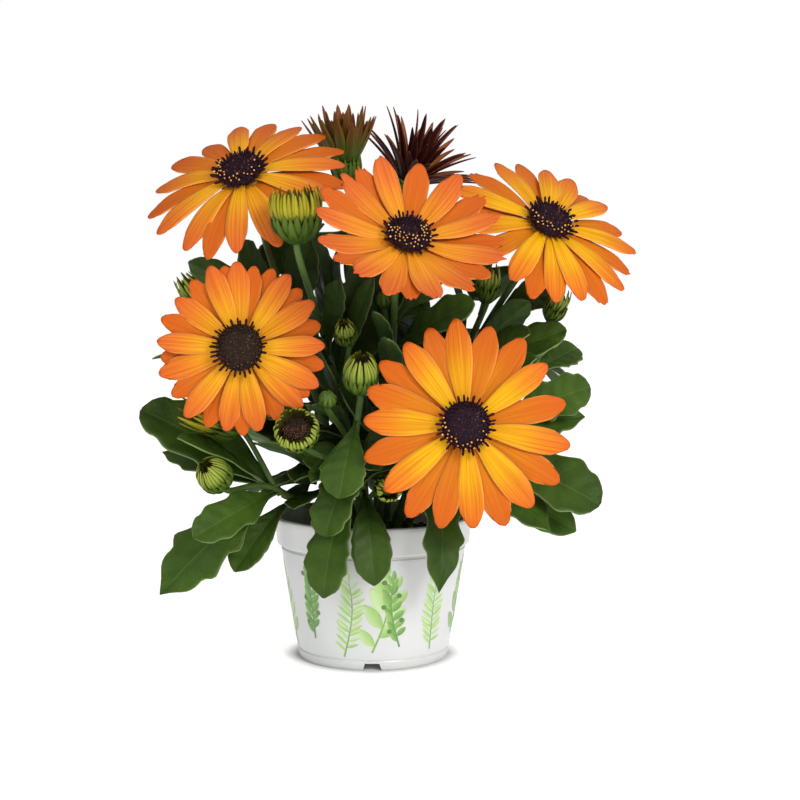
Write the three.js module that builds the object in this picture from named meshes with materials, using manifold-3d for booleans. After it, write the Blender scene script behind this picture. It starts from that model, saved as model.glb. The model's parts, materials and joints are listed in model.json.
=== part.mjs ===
// Osteospermum (Cape daisy) in a 9 cm nursery pot: pot, compost, leafy shoots, open blooms,
// half-open heads and buds. Millimetres, +Z up. The side of the plant that its blooms face is
// -Y, and +X is on the right of it. All places below are measured from the middle of the pot's
// foot, and the last lines move the origin under the middle of the whole plant.

import * as THREE from 'three';
import { mergeGeometries, mergeVertices } from 'three/addons/utils/BufferGeometryUtils.js';
import Module from 'manifold-3d';

const wasm = await Module();
wasm.setup();

// ---------------------------------------------------------------- driving dimensions

// Pot
const RIM_RADIUS = 45;          // outside of the lip
const POT_HEIGHT = 64.6;
const BAND_FOOT = 51.5;         // lower edge of the rim band
const BAND_RADIUS = 43.8;       // outside of the band there
const BAND_STEP = 1.6;          // how far the band stands out from the wall
const FOOT_RADIUS = 33.4;
const WALL = 1.2;
const FLOOR = 3.0;              // underside of the floor above the surface
const GROOVE_HEIGHT = 4.6;
const NOTCH = { width: 9, top: 6.4, height: 3.4, count: 4 };
const DRAIN = { radius: 3, circle: 22, count: 4 };
const POT_SIDES = 24;

// Compost
const SOIL_TOP = 56;
const FIT = 0.35;               // air between pieces that touch

// Shoots
const STEM_RADIUS = 1.5;
const STALK_RADIUS = 1.15;
const STEM_SIDES = 4;
const STEM_STEP = 26;
const SOCKET_DEPTH = 9;         // how deep a shoot stands in the compost
const SOCKET_RADIUS = 2.15;

// Leaves
const LEAF_THICKNESS = 0.8;
const LEAF_CLEARANCE = 2.9;     // least distance kept between a leaf and what is round it
const PETIOLE_REACH = 10;       // a leaf may be this close to its own shoot's pieces
const LEAF_FACING = 0.9;        // how far a leaf's upper face turns outwards
const LEAF_FOOT = 64;           // lowest place of a leaf's foot
const GOLDEN_TURN = 137.5;      // degrees between one leaf and the next up a shoot

// Heads
const RAY_THICKNESS = 0.75;
const LAYER_STEP = 0.85;        // between one layer of rays and the next
const DISC_PART = 0.235;        // disc radius as a part of the bloom's radius

const up = new THREE.Vector3(0, 0, 1);
const vector = (xyz) => new THREE.Vector3(...xyz);
const radians = THREE.MathUtils.degToRad;

// A repeatable spread of values between 0 and 1
const spread = (k) => (k * 0.618034) % 1;

// ---------------------------------------------------------------- solids

// A closed geometry as a solid: only positions, shared corners merged, no empty triangles
function solid(geometry) {
  const bare = geometry.clone();
  Object.keys(bare.attributes).forEach((name) => name !== 'position' && bare.deleteAttribute(name));
  const merged = mergeVertices(bare, 1e-4);
  const index = merged.index.array;
  const kept = [];
  for (let i = 0; i < index.length; i += 3) {
    const [a, b, c] = [index[i], index[i + 1], index[i + 2]];
    if (a !== b && b !== c && c !== a) kept.push(a, b, c);
  }
  const vertProperties = new Float32Array(merged.attributes.position.array);
  return new wasm.Manifold(new wasm.Mesh({ numProp: 3, vertProperties, triVerts: new Uint32Array(kept) }));
}

const join = (solids) => solids.reduce((whole, piece) => whole.add(piece));
const cut = (body, tools) => tools.reduce((whole, tool) => whole.subtract(tool), body);

function mesh(name, body, material) {
  const { vertProperties, triVerts, numProp } = body.getMesh();
  const position = new Float32Array((vertProperties.length / numProp) * 3);
  for (let i = 0; i < position.length / 3; i++) {
    position.set(vertProperties.subarray(i * numProp, i * numProp + 3), i * 3);
  }
  const geometry = new THREE.BufferGeometry();
  geometry.setAttribute('position', new THREE.BufferAttribute(position, 3));
  geometry.setIndex(new THREE.BufferAttribute(new Uint32Array(triVerts), 1));
  geometry.computeVertexNormals();
  const result = new THREE.Mesh(geometry, material);
  result.name = name;
  return result;
}

// A shape turned about +Z from [radius, height] points that start and end on the axis
function turned(profile, sides) {
  const points = profile.map(([radius, height]) => new THREE.Vector2(radius, height));
  return new THREE.LatheGeometry(points, sides).rotateX(Math.PI / 2);
}

// The points at which a stem's straight stretches meet
const stretches = (curve) => Math.ceil(curve.getLength() / STEM_STEP);

function rod(curve, radius) {
  const section = new THREE.Shape();
  for (let i = 0; i < STEM_SIDES; i++) {
    const angle = (i / STEM_SIDES) * 2 * Math.PI;
    section[i ? 'lineTo' : 'moveTo'](radius * Math.cos(angle), radius * Math.sin(angle));
  }
  section.closePath();
  return solid(new THREE.ExtrudeGeometry(section,
    { steps: stretches(curve), extrudePath: curve, bevelEnabled: false }));
}

// ---------------------------------------------------------------- blades

// A blade is a leaf, a ray or a bract: a thin solid on a bow from its foot to its tip. Its
// outline lists [part of the way along, part of the half width]. fold lifts its edges.

const OUTLINES = {
  ray: [[0, 0.28], [0.44, 0.96], [0.82, 0.92], [1, 0.4]],
  blunt: [[0, 0.28], [0.44, 0.94], [0.86, 0.9], [1, 0.52]],
  spike: [[0, 0.42], [0.5, 1], [1, 0]],
  leaf: [[0, 0.14], [0.34, 0.56], [0.74, 1], [1, 0.2]],
  toothed: [[0, 0.13], [0.22, 0.3], [0.44, 0.9], [0.5, 0.72], [0.67, 1], [0.73, 0.76], [0.85, 0.64],
    [1, 0]],
  lobed: [[0, 0.14], [0.26, 0.44], [0.48, 1], [0.55, 0.84], [0.76, 1], [0.93, 0.72], [1, 0.2]],
  young: [[0, 0.16], [0.6, 1], [1, 0]],
  under: [[0, 0.28], [0.55, 1], [1, 0.4]],
};

function bladeBow(blade, t) {
  const s = 1 - t;
  return new THREE.Vector3()
    .addScaledVector(blade.foot, s * s)
    .addScaledVector(blade.bow, 2 * s * t)
    .addScaledVector(blade.tip, t * t);
}

function bladeNormal(blade, t) {
  const along = new THREE.Vector3()
    .addScaledVector(blade.foot, t - 1)
    .addScaledVector(blade.bow, 1 - 2 * t)
    .addScaledVector(blade.tip, t);
  return along.cross(blade.across).normalize();
}

function bladeWidth(blade, t) {
  const { outline, halfWidth } = blade;
  const next = Math.max(1, outline.findIndex(([place]) => place >= t));
  const [[t0, w0], [t1, w1]] = [outline[next - 1], outline[next]];
  return halfWidth * (w0 + ((w1 - w0) * (t - t0)) / (t1 - t0));
}

// A point on the blade's middle surface, side from -1 to 1 across it
function bladePoint(blade, side, t) {
  const reach = bladeWidth(blade, t);
  return bladeBow(blade, t)
    .addScaledVector(blade.across, side * reach)
    .addScaledVector(bladeNormal(blade, t), Math.abs(side) * reach * blade.fold);
}

// Two sheets of triangles, split alike, that meet at the edges and at the tip. A leaf's foot has
// a small end, and a ray tapers to nothing inside the base that holds it.
function bladeSolid(blade) {
  const rows = blade.outline.length - 1;
  const corner = (side, t, face) => {
    const full = side === 0 && t < 1 && (t > 0 || !blade.taper);
    return bladePoint(blade, side, t)
      .addScaledVector(bladeNormal(blade, t), full ? (face * blade.thickness) / 2 : 0);
  };
  const faces = [1, -1].map((face) => {
    const sheet = new THREE.PlaneGeometry(2, 1, 2, rows);
    const points = blade.outline.flatMap(([t]) => [-1, 0, 1].map((side) => corner(side, t, face)));
    points.forEach(({ x, y, z }, i) => sheet.attributes.position.setXYZ(i, x, y, z));
    if (face < 0) sheet.setIndex(Array.from(sheet.index.array).reverse());
    return sheet;
  });
  const end = new THREE.PlaneGeometry(1, 1, 1, 1);
  [corner(-1, 0, 1), corner(0, 0, -1), corner(0, 0, 1), corner(1, 0, 1)]
    .forEach(({ x, y, z }, i) => end.attributes.position.setXYZ(i, x, y, z));
  return solid(mergeGeometries([...faces, end]));
}

// Points spread over a blade, which stand for it where clearance is tested
function bladeSamples(blade, rows, columns) {
  const points = [];
  for (let row = 1; row <= rows; row++) {
    for (let column = 0; column < columns; column++) {
      const side = columns === 1 ? 0 : (2 * column) / (columns - 1) - 1;
      points.push(bladePoint(blade, side, row / rows));
    }
  }
  return points;
}

// ---------------------------------------------------------------- heads

// A head's own frame: its axis leans from upright by lean, towards the compass turn, in which
// 0 is the front and 90 the right. Around it, 0 is the right and 90 the top.
function headFrame({ centre, lean, turn }) {
  const [tilt, way] = [radians(lean), radians(turn)];
  const aside = Math.sin(tilt);
  const axis = new THREE.Vector3(Math.sin(way) * aside, -Math.cos(way) * aside, Math.cos(tilt));
  const right = new THREE.Vector3(Math.cos(way), Math.sin(way), 0);
  const top = axis.clone().cross(right);
  return { origin: vector(centre), axis, right, top };
}

function headPoint(frame, direction, [radius, height]) {
  return frame.origin.clone().addScaledVector(direction, radius).addScaledVector(frame.axis, height);
}

// A blade of a head, drawn by [radius, height] points in the plane of its clock angle
function headBlade(frame, angle, { foot, bow, tip, halfWidth, outline, fold = 0 }) {
  const turn = radians(angle);
  const direction = frame.right.clone().multiplyScalar(Math.cos(turn))
    .addScaledVector(frame.top, Math.sin(turn));
  return {
    foot: headPoint(frame, direction, foot),
    bow: headPoint(frame, direction, bow),
    tip: headPoint(frame, direction, tip),
    across: frame.axis.clone().cross(direction).normalize(),
    halfWidth, outline, fold,
    thickness: RAY_THICKNESS,
    taper: true,
  };
}

function headTurned(frame, profile, sides, shape = () => {}) {
  const geometry = turned(profile, sides);
  shape(geometry);
  const { right, top, axis, origin } = frame;
  geometry.applyMatrix4(new THREE.Matrix4().makeBasis(right, top, axis).setPosition(origin));
  return solid(geometry);
}

// Every second point of a turned shape's rings goes out or in, which makes florets or points.
// rings says how far along the profile, and push how far out and up.
function alternate(sides, rings, pushOut, pushUp) {
  return (geometry) => {
    const position = geometry.attributes.position;
    const perSide = position.count / (sides + 1);
    for (let i = 0; i < position.count; i++) {
      const ring = i % perSide;
      const side = Math.floor(i / perSide) % sides;
      if (!rings.includes(ring) || (side + ring) % 2) continue;
      const radius = Math.hypot(position.getX(i), position.getY(i));
      const grown = (radius + pushOut) / radius;
      position.setXYZ(i, position.getX(i) * grown, position.getY(i) * grown, position.getZ(i) + pushUp);
    }
  };
}

const HUB_TOP = 0.8;
const HUB_FOOT = -3.4;
const CUP_TOP = HUB_FOOT - FIT;

// Open blooms. top lists the clock angles of the rays on top; in a gap between two of them lie
// as many lower rays as keep them under maxGap apart.
const BLOOMS = [
  { centre: [-56.4, -20, 216.4], lean: 43, turn: -18, radius: 45.8, lift: -8, crown: 3.5, maxGap: 25,
    halfWidth: 5.1, top: [17, 73, 112, 181, 223, 248, 282, 305, 347] },
  { centre: [15.4, -66, 187.8], lean: 47, turn: 15, radius: 41, lift: 12, crown: 1, maxGap: 26,
    halfWidth: 5.1, top: [9, 48, 99, 129, 168, 193, 224, 246, 273, 298, 333] },
  { centre: [77, -18, 195], lean: 46, turn: 28, radius: 44.5, lift: -4, crown: 3, maxGap: 25,
    halfWidth: 5.1, top: [22, 48, 64, 98, 147, 178, 225, 253, 269, 304, 342] },
  { centre: [-54.5, -52, 142.5], lean: 82, turn: -7, radius: 36.3, lift: 2, crown: 1, maxGap: 17,
    halfWidth: 4.5, disc: 10.2, top: [2, 32, 57, 94, 112, 144, 176, 198, 232, 261, 284, 317, 335] },
  { centre: [39.2, -66, 111.2], lean: 78.5, turn: 0, radius: 43.8, lift: 2, crown: 1, maxGap: 25,
    halfWidth: 5.3, top: [37, 95, 126, 177, 219, 274, 309, 349] },
];

function bloomRays(bloom) {
  const frame = headFrame(bloom);
  const scale = bloom.radius / 40;
  const lift = radians(bloom.lift);
  const rays = [];
  const addRay = (angle, layer) => {
    const k = rays.length;
    const reach = bloom.radius * (0.96 + 0.07 * spread(k + bloom.radius));
    const height = -LAYER_STEP * layer;
    rays.push(headBlade(frame, angle, {
      foot: [3.5 * scale, height],
      bow: [0.5 * reach, height + bloom.crown],
      tip: [reach * Math.cos(lift), height + reach * Math.sin(lift)],
      halfWidth: bloom.halfWidth * (0.93 + 0.14 * spread(k * 3)),
      outline: layer > 1 ? OUTLINES.under : OUTLINES[k % 3 === 1 ? 'blunt' : 'ray'],
      fold: layer < 2 ? -0.06 : 0,
    }));
  };
  bloom.top.forEach((angle, i) => {
    addRay(angle, i % 2);
    const next = bloom.top[(i + 1) % bloom.top.length];
    const gap = (next - angle + 360) % 360;
    const between = Math.ceil(gap / bloom.maxGap) - 1;
    for (let j = 1; j <= between; j++) addRay(angle + (gap * j) / (between + 1), 2 + ((i + j) % 2));
  });
  return rays;
}

function bloomHub(bloom) {
  const radius = (8 * bloom.radius) / 40;
  const profile = [[0, HUB_FOOT], [radius - 1.5, HUB_FOOT], [radius, -2.2], [radius, 0.2],
    [radius - 0.8, HUB_TOP], [0, HUB_TOP]];
  return headTurned(headFrame(bloom), profile, 10);
}

// The disc: a dome of florets in rings, with its outer ring standing out over the rays' feet
function discSolid(frame, radius, foot, sides) {
  const profile = [[0, foot], [0.62 * radius, foot], [0.97 * radius, foot + 0.14 * radius],
    [0.9 * radius, foot + 0.36 * radius], [0.6 * radius, foot + 0.45 * radius],
    [0.28 * radius, foot + 0.44 * radius], [0, foot + 0.4 * radius]];
  return headTurned(frame, profile, sides, alternate(sides, [2, 3, 4], -0.02 * radius, 0.09 * radius));
}

// The cup of green bracts under a head, with pointed rim
function cupSolid(frame, radius, top, depth) {
  const profile = [[0, top - depth], [0.2 * radius, top - depth], [0.8 * radius, top - 0.6 * depth],
    [radius, top - 0.18 * depth], [0.86 * radius, top], [0, top]];
  return headTurned(frame, profile, 6, alternate(6, [3, 4], -0.07 * radius, -0.12 * depth));
}

// Half-open heads: narrow pointed rays that stand up round a dark disc, in layers given as
// [count, angle from the axis, length]
const HALF_OPEN = [
  { centre: [-12.6, 16, 223.4], lean: 9, turn: -25, halfWidth: 1.5, curl: 0.1,
    layers: [[14, 33, 25], [10, 17, 26]] },
  { centre: [15.4, 32, 215.9], lean: 28, turn: 72, halfWidth: 1.7, curl: -0.06,
    layers: [[13, 63, 31], [11, 40, 33], [7, 15, 34]] },
];

function halfOpenRays(head) {
  const frame = headFrame(head);
  const [footRadius, footHeight] = [3.4, 0.6];
  return head.layers.flatMap(([count, opening, length], layer) => {
    const rays = [];
    for (let i = 0; i < count; i++) {
      const k = i + 7 * layer;
      const angle = radians(opening + 9 * (spread(k * 2) - 0.5));
      const reach = length * (0.93 + 0.14 * spread(k * 5));
      const radius = footRadius - 0.8 * layer;
      const tip = [radius + reach * Math.sin(angle), footHeight + reach * Math.cos(angle)];
      const bow = [(radius + tip[0]) / 2 + head.curl * length * Math.cos(angle),
        (footHeight + tip[1]) / 2 - head.curl * length * Math.sin(angle)];
      rays.push(headBlade(frame, (360 / count) * (i + 0.5 * layer + 0.25 * spread(k)), {
        foot: [radius, footHeight], bow, tip, halfWidth: head.halfWidth, outline: OUTLINES.spike, fold: 0.5,
      }));
    }
    return rays;
  });
}

// Buds: fingers bow out from the base and close over the middle. open says how far the tips
// stand apart, eye says whether the dark disc shows between them, and eyePart how wide it is.
const BUDS = {
  bud_1: { centre: [-30.8, -54, 195.3], lean: 10, turn: -20, radius: 9.6,
    height: 14, fingers: 13, open: 1.02, eye: true },
  bud_2: { centre: [-4.2, -55, 130], lean: 28, turn: 5, radius: 7,
    height: 11.5, fingers: 9, open: 0.5, eye: true },
  bud_3: { centre: [-30.2, -64, 108.5], lean: 58, turn: -8, radius: 8.2,
    height: 8, fingers: 12, open: 0.95, eye: true, eyePart: 0.64 },
  bud_4: { centre: [-66, -47, 87.5], lean: 52, turn: -35, radius: 7,
    height: 10, fingers: 9, open: 0.45, eye: true },
  bud_5: { centre: [-10.8, -41, 147.5], lean: 40, turn: -10, radius: 4.6,
    height: 7.5, fingers: 7, open: 0.4, crown: true },
  bud_6: { centre: [7, -52, 83.5], lean: 95, turn: 10, radius: 5.6,
    height: 8, fingers: 7, open: 0.6, crown: true },
  bud_7: { centre: [50.9, -12, 166], lean: 18, turn: 25, radius: 5,
    height: 12, fingers: 7, open: 0.9, crown: true },
  bud_8: { centre: [81, -8, 157], lean: 28, turn: 50, radius: 4.6,
    height: 11, fingers: 7, open: 0.9, crown: true },
  bud_9: { centre: [-63.5, -31, 107], lean: 64, turn: -68, radius: 6,
    height: 22, fingers: 8, open: 1.1 },
  bud_10: { centre: [-77, -22, 163], lean: 38, turn: -55, radius: 4.8,
    height: 12, fingers: 7, open: 1.0, crown: true },
  closed_1: { centre: [-18, -58, 122], lean: 40, turn: 5, radius: 3.4, closed: true },
  closed_2: { centre: [5, -30, 163], lean: 20, turn: -15, radius: 3.2, closed: true },
};

// A young bud: its rays are still one crown with a pointed rim
function crownSolid(bud) {
  const { radius, height } = bud;
  const profile = [[0, -0.8], [0.6 * radius, -0.8], [radius, 0.45 * height], [0.8 * radius, height],
    [0.45 * radius, 0.6 * height], [0, 0.5 * height]];
  return headTurned(headFrame(bud), profile, 10, alternate(10, [3], -0.1 * radius, -0.42 * height));
}

function budRays(bud) {
  const frame = headFrame(bud);
  const rays = [];
  for (let i = 0; i < bud.fingers; i++) {
    rays.push(headBlade(frame, (360 / bud.fingers) * (i + 0.3 * spread(i)), {
      foot: [0.42 * bud.radius, 0.4],
      bow: [1.38 * bud.radius, 0.42 * bud.height],
      tip: [bud.open * bud.radius * (0.85 + 0.3 * spread(i * 2)),
        bud.height * (0.92 + 0.16 * spread(i * 3))],
      halfWidth: 0.2 * bud.radius,
      outline: OUTLINES.spike,
      fold: 0.25,
    }));
  }
  return rays;
}

// A closed bud is green all over, and so it is part of its shoot
function closedSolid(bud) {
  const { radius } = bud;
  const profile = [[0, -1.3 * radius], [0.6 * radius, -1.2 * radius], [radius, -0.2 * radius],
    [0.72 * radius, 0.7 * radius], [0.3 * radius, 0.9 * radius], [0, 0.75 * radius]];
  return headTurned(headFrame(bud), profile, 8, alternate(8, [3], -0.05 * radius, -0.25 * radius));
}

function budHub(bud) {
  const radius = 0.62 * bud.radius;
  const profile = [[0, -0.8], [0.8 * radius, -0.8], [radius, 0.4], [0.7 * radius, 1.4], [0, 1.4]];
  return headTurned(headFrame(bud), profile, 7);
}

// ---------------------------------------------------------------- shoots

// A shoot stands in the compost at root, passes through via and ends in its head, or at end.
// Its side stalks leave it at a height. Leaves are [height of the foot, tip, half width, roll,
// arch, outline], then fill more leaves follow up the stem by rule, as far as leafTop, and last
// come young leaves between them.
const SHOOTS = [
  { root: [-10, -6], via: [[-18, -9, 95], [-33, -2, 140], [-46, 8, 178]], bloom: 0,
    leafTop: 196, fill: 12, young: 5,
    leaves: [[146, [-82, -8, 179], 8, 50, 0.12, 'leaf'],
      [160, [-22, -4, 196], 8, 0, 0.12, 'leaf'], [150, [-62, -14, 188], 9, 10, 0.1, 'leaf']] },
  { root: [3, -4], via: [[5, -8, 95], [9, -20, 140]], bloom: 1, leafTop: 160, fill: 6, young: 6,
    stalks: [{ from: 138, bud: 'closed_2' }],
    leaves: [[140, [44, -38, 161], 10, 25, 0.1, 'lobed'], [118, [25, -44, 153], 7, 20, 0.1, 'leaf'],
      [124, [5, -48, 158], 5, 0, 0.12, 'leaf'], [108, [16, -54, 147], 6, 0, 0.12, 'leaf']] },
  { root: [12, -4], via: [[25, -3, 100], [48, 0, 145]], bloom: 2, leafTop: 182, fill: 9, young: 5,
    leaves: [[126, [87, -8, 149], 8, 45, 0.12, 'lobed'], [116, [86, -18, 144], 5, 30, 0.12, 'leaf'],
      [130, [68, -34, 148], 8, 40, 0.12, 'leaf'], [108, [80, -25, 138], 7, 40, 0.1, 'leaf'],
      [150, [84, 2, 172], 9, 30, 0.12, 'leaf'], [134, [71, -8, 161], 7, 0, 0.1, 'leaf']] },
  { root: [-13, -10], via: [[-21, -13, 82], [-38, -17, 115]], bloom: 3,
    leafTop: 132, fill: 6, young: 7,
    leaves: [[84, [-50, -38, 101], 9, 0, 0.1, 'leaf'], [78, [-34, -34, 72], 8, 0, 0.1, 'leaf']] },
  { root: [11, -12], via: [[18, -16, 74], [30, -26, 96]], bloom: 4, leafTop: 98, fill: 2, young: 3,
    leaves: [[88, [28.8, -56, 39.4], 9.5, 0, 0.3, 'toothed']] },
  { root: [-3, 6], via: [[-7, 10, 120], [-11, 12, 178]], halfOpen: 0, leafTop: 198, fill: 11, young: 4,
    leaves: [[150, [-16, -10, 184], 7, 0, 0.1, 'leaf'], [148, [-27, 4, 189], 9, 0, 0.1, 'leaf'],
      [140, [-3, 2, 187], 8, 0, 0.1, 'leaf']] },
  { root: [6, 7], via: [[10, 18, 120], [12, 25, 175]], halfOpen: 1, leafTop: 190, fill: 9, leaves: [] },
  { root: [-5, -13], via: [[-10, -15, 100], [-21, -18, 145]], bud: 'bud_1', leafTop: 180, fill: 8, young: 8,
    stalks: [{ from: 116, bud: 'bud_5' }, { from: 100, bud: 'closed_1' }],
    leaves: [[138, [-20, -38, 171], 5.5, 0, 0.1, 'leaf'], [124, [-7, -42, 172], 5, 0, 0.08, 'leaf'],
      [134, [-26, -42, 152], 6.5, 0, 0.12, 'leaf'], [104, [-25, -54, 119], 6, 0, 0.1, 'leaf']] },
  { root: [-17, 1], via: [[-29, -12, 70], [-47, -28, 81]], bud: 'bud_4', leafTop: 82, fill: 2, young: 4,
    stalks: [{ from: 78, bud: 'bud_9' }],
    leaves: [[79.5, [-91, -45, 36.2], 13, -55, 0.16, 'toothed'],
      [78, [-84, -50, 64], 8.5, -60, 0.14, 'lobed'],
      [74, [-55, -42, 44.8], 8, -40, 0.2, 'leaf'], [76, [-71, -50, 47], 9.5, -50, 0.12, 'toothed'],
      [77, [-102, -20, 114], 13, -60, 0.12, 'lobed'], [79, [-100, -12, 93], 7.5, -50, 0.1, 'toothed'],
      [80, [-86, -30, 104], 9, -45, 0.12, 'leaf'], [73, [-54, -47, 88], 6, 0, 0.14, 'leaf'],
      [70, [-34, -52, 84], 8, 0, 0.2, 'lobed'], [69, [-50, -36, 67], 8, 0, 0.15, 'leaf'],
      [75, [-42, -42, 99], 8, 0, 0.1, 'leaf']] },
  { root: [17, 3], via: [[34, -5, 82], [54, -13, 103], [70, -13, 128]], bud: 'bud_8',
    leafTop: 145, fill: 3, young: 5,
    leaves: [[94, [99, -34, 73.5], 14.5, 45, 0.14, 'lobed'], [86, [77, -40, 63], 12, 30, 0.16, 'toothed'],
      [112, [96, -20, 124], 9.5, 55, 0.1, 'lobed'], [104, [95, -12, 110], 9, 50, 0.1, 'toothed'],
      [128, [93, 5, 140], 8, 0, 0.1, 'leaf'], [84, [88, -28, 60], 9, 20, 0.14, 'leaf']] },
  { root: [1, -17], via: [[-3, -27, 76], [-7, -42, 98]], bud: 'bud_2', leafTop: 110, fill: 0, young: 6,
    stalks: [{ from: 88, bud: 'bud_3' }, { from: 74, bud: 'bud_6' }],
    leaves: [[112, [-13, -66, 81], 9.5, 0, 0.12, 'leaf'], [86, [-20, -57, 37.3], 9.5, 0, 0.3, 'leaf'],
      [80, [-1.5, -58, 42.8], 8.5, 0, 0.34, 'leaf'], [94, [-19, -60, 64], 9.5, 0, 0.2, 'lobed'],
      [104, [4, -58, 92], 7, 0, 0.12, 'leaf'], [98, [-29, -62, 88], 5.5, 0, 0.16, 'leaf']] },
  { root: [-9, 10], via: [[-23, 20, 95], [-47, 14, 130]], bud: 'bud_10', leafTop: 150, fill: 7, young: 5,
    leaves: [[132, [-97.7, -15, 136.4], 9, 0, 0.12, 'toothed']] },
  { root: [11, 12], via: [[25, 20, 95], [40, 14, 132]], bud: 'bud_7', leafTop: 160, fill: 8, young: 4,
    leaves: [[138, [34, -4, 180], 9, 0, 0.12, 'leaf'], [130, [47, -2, 168], 8, 0, 0.1, 'leaf']] },
  { root: [1, 16], via: [[2, 32, 90]], end: [4, 46, 140], leafTop: 140, fill: 9, young: 4, leaves: [] },
  { root: [-11, 18], via: [[-26, 36, 82]], end: [-44, 48, 115], leafTop: 115, fill: 8, young: 4,
    leaves: [] },
  { root: [11, 19], via: [[26, 36, 82]], end: [46, 46, 112], leafTop: 112, fill: 8, young: 3,
    leaves: [] },
];

function curveThrough(points) {
  return new THREE.CatmullRomCurve3(points, false, 'catmullrom', 0.5);
}

// The last stretch of a stalk comes into its head along the head's axis
function arrival(head, cupDepth, straight) {
  const frame = headFrame(head);
  return [straight, cupDepth].map((back) => frame.origin.clone().addScaledVector(frame.axis, -back));
}

const CUP_DEPTH = 6.5;

function budCup(bud) {
  return { radius: 0.86 * bud.radius, top: -0.8 - FIT, depth: 0.8 * bud.radius };
}

function headOf(shoot) {
  if (shoot.bloom !== undefined) {
    const bloom = BLOOMS[shoot.bloom];
    const cup = { radius: (8.2 * bloom.radius) / 40, top: CUP_TOP, depth: CUP_DEPTH };
    return { ...bloom, cup, straight: 26 };
  }
  if (shoot.halfOpen !== undefined) {
    return { ...HALF_OPEN[shoot.halfOpen], cup: { radius: 6.2, top: -1 - FIT, depth: 7 }, straight: 20 };
  }
  const bud = BUDS[shoot.bud];
  return bud ? { ...bud, cup: budCup(bud), straight: 1.6 * bud.radius } : null;
}

function shootCurve(shoot) {
  const [x, y] = shoot.root;
  const points = [1.5, 6].map((height) => vector([x, y, SOIL_TOP + height]));
  shoot.via.forEach((point) => points.push(vector(point)));
  const head = headOf(shoot);
  if (!head) return curveThrough([...points, vector(shoot.end)]);
  const cupDepth = 1 - head.cup.top + 0.5 * head.cup.depth;
  return curveThrough([...points, ...arrival(head, cupDepth, head.straight)]);
}

function stalkCurve(shoot, stalk) {
  const bud = BUDS[stalk.bud];
  const cup = budCup(bud);
  return curveThrough([pointAtHeight(shootCurve(shoot), stalk.from),
    ...arrival(bud, 1 - cup.top + 0.5 * cup.depth, 1.8 * bud.radius)]);
}

// Where a stem first comes up to a height
function pointAtHeight(curve, height) {
  const points = curve.getSpacedPoints(stretches(curve));
  const next = Math.max(1, points.findIndex(({ z }) => z >= height));
  const [below, above] = [points[next - 1], points[next]];
  return below.clone().lerp(above, (height - below.z) / (above.z - below.z));
}

// ---------------------------------------------------------------- leaves

function leafBlade(foot, tip, halfWidth, roll, arch, outline) {
  const chord = tip.clone().sub(foot);
  const length = chord.length();
  chord.normalize();
  const outward = new THREE.Vector3(tip.x, tip.y, 0).normalize();
  const upper = up.clone().addScaledVector(outward, LEAF_FACING);
  upper.addScaledVector(chord, -upper.dot(chord)).normalize().applyAxisAngle(chord, radians(roll));
  return {
    foot, tip,
    bow: foot.clone().add(tip).multiplyScalar(0.5).addScaledVector(upper, arch * length),
    across: upper.clone().cross(chord).normalize(),
    halfWidth,
    outline: OUTLINES[outline],
    fold: 0.16,
    thickness: LEAF_THICKNESS,
  };
}

// What a leaf must keep clear of: points of the heads, stems and leaves placed so far, kept in
// cubic cells as wide as the clearance
const obstacles = new Map();

function cellOf(x, y, z) {
  return [x, y, z].reduce((key, value) => key * 1000 + Math.floor(value / LEAF_CLEARANCE) + 500, 0);
}

function addObstacles(points, owner) {
  points.forEach((point) => {
    const cell = cellOf(point.x, point.y, point.z);
    if (!obstacles.has(cell)) obstacles.set(cell, []);
    obstacles.get(cell).push({ point, owner });
  });
}

function obstaclesNear({ x, y, z }) {
  const sides = [-LEAF_CLEARANCE, 0, LEAF_CLEARANCE];
  return sides.flatMap((dx) => sides.flatMap((dy) => sides.flatMap((dz) => (
    obstacles.get(cellOf(x + dx, y + dy, z + dz)) ?? []))));
}

function inPot(point) {
  return point.z < POT_HEIGHT + 2.5 && Math.hypot(point.x, point.y) < RIM_RADIUS + 3;
}

function isClear(point, foot, owner) {
  const nearFoot = point.distanceTo(foot) < PETIOLE_REACH;
  if (!nearFoot && inPot(point)) return false;
  return obstaclesNear(point).every((other) => (nearFoot && other.owner === owner)
    || other.point.distanceToSquared(point) > LEAF_CLEARANCE ** 2);
}

// The rounded heap that the leaves placed by rule stay in
const HEAP = { middle: 108, left: 98, right: 96, front: 48, back: 80, above: 97, below: 66 };

function inHeap(point) {
  const x = point.x / (point.x < 0 ? HEAP.left : HEAP.right);
  const y = point.y / (point.y < 0 ? HEAP.front : HEAP.back);
  const z = (point.z - HEAP.middle) / (point.z > HEAP.middle ? HEAP.above : HEAP.below);
  return x * x + y * y + z * z < 1;
}

// Ways to change a leaf that isn't clear, in the order in which they are tried: part of its
// length, steps up or down, steps round its foot, and degrees of roll
const TRIES = [1, 0.85, 0.7].flatMap((size) => [0, 1, -1].flatMap((rise) => (
  [0, 1, -1, 2, -2, 3, -3].flatMap((turn) => [0, 35].map((twist) => [size, rise, turn, twist])))));

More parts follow.
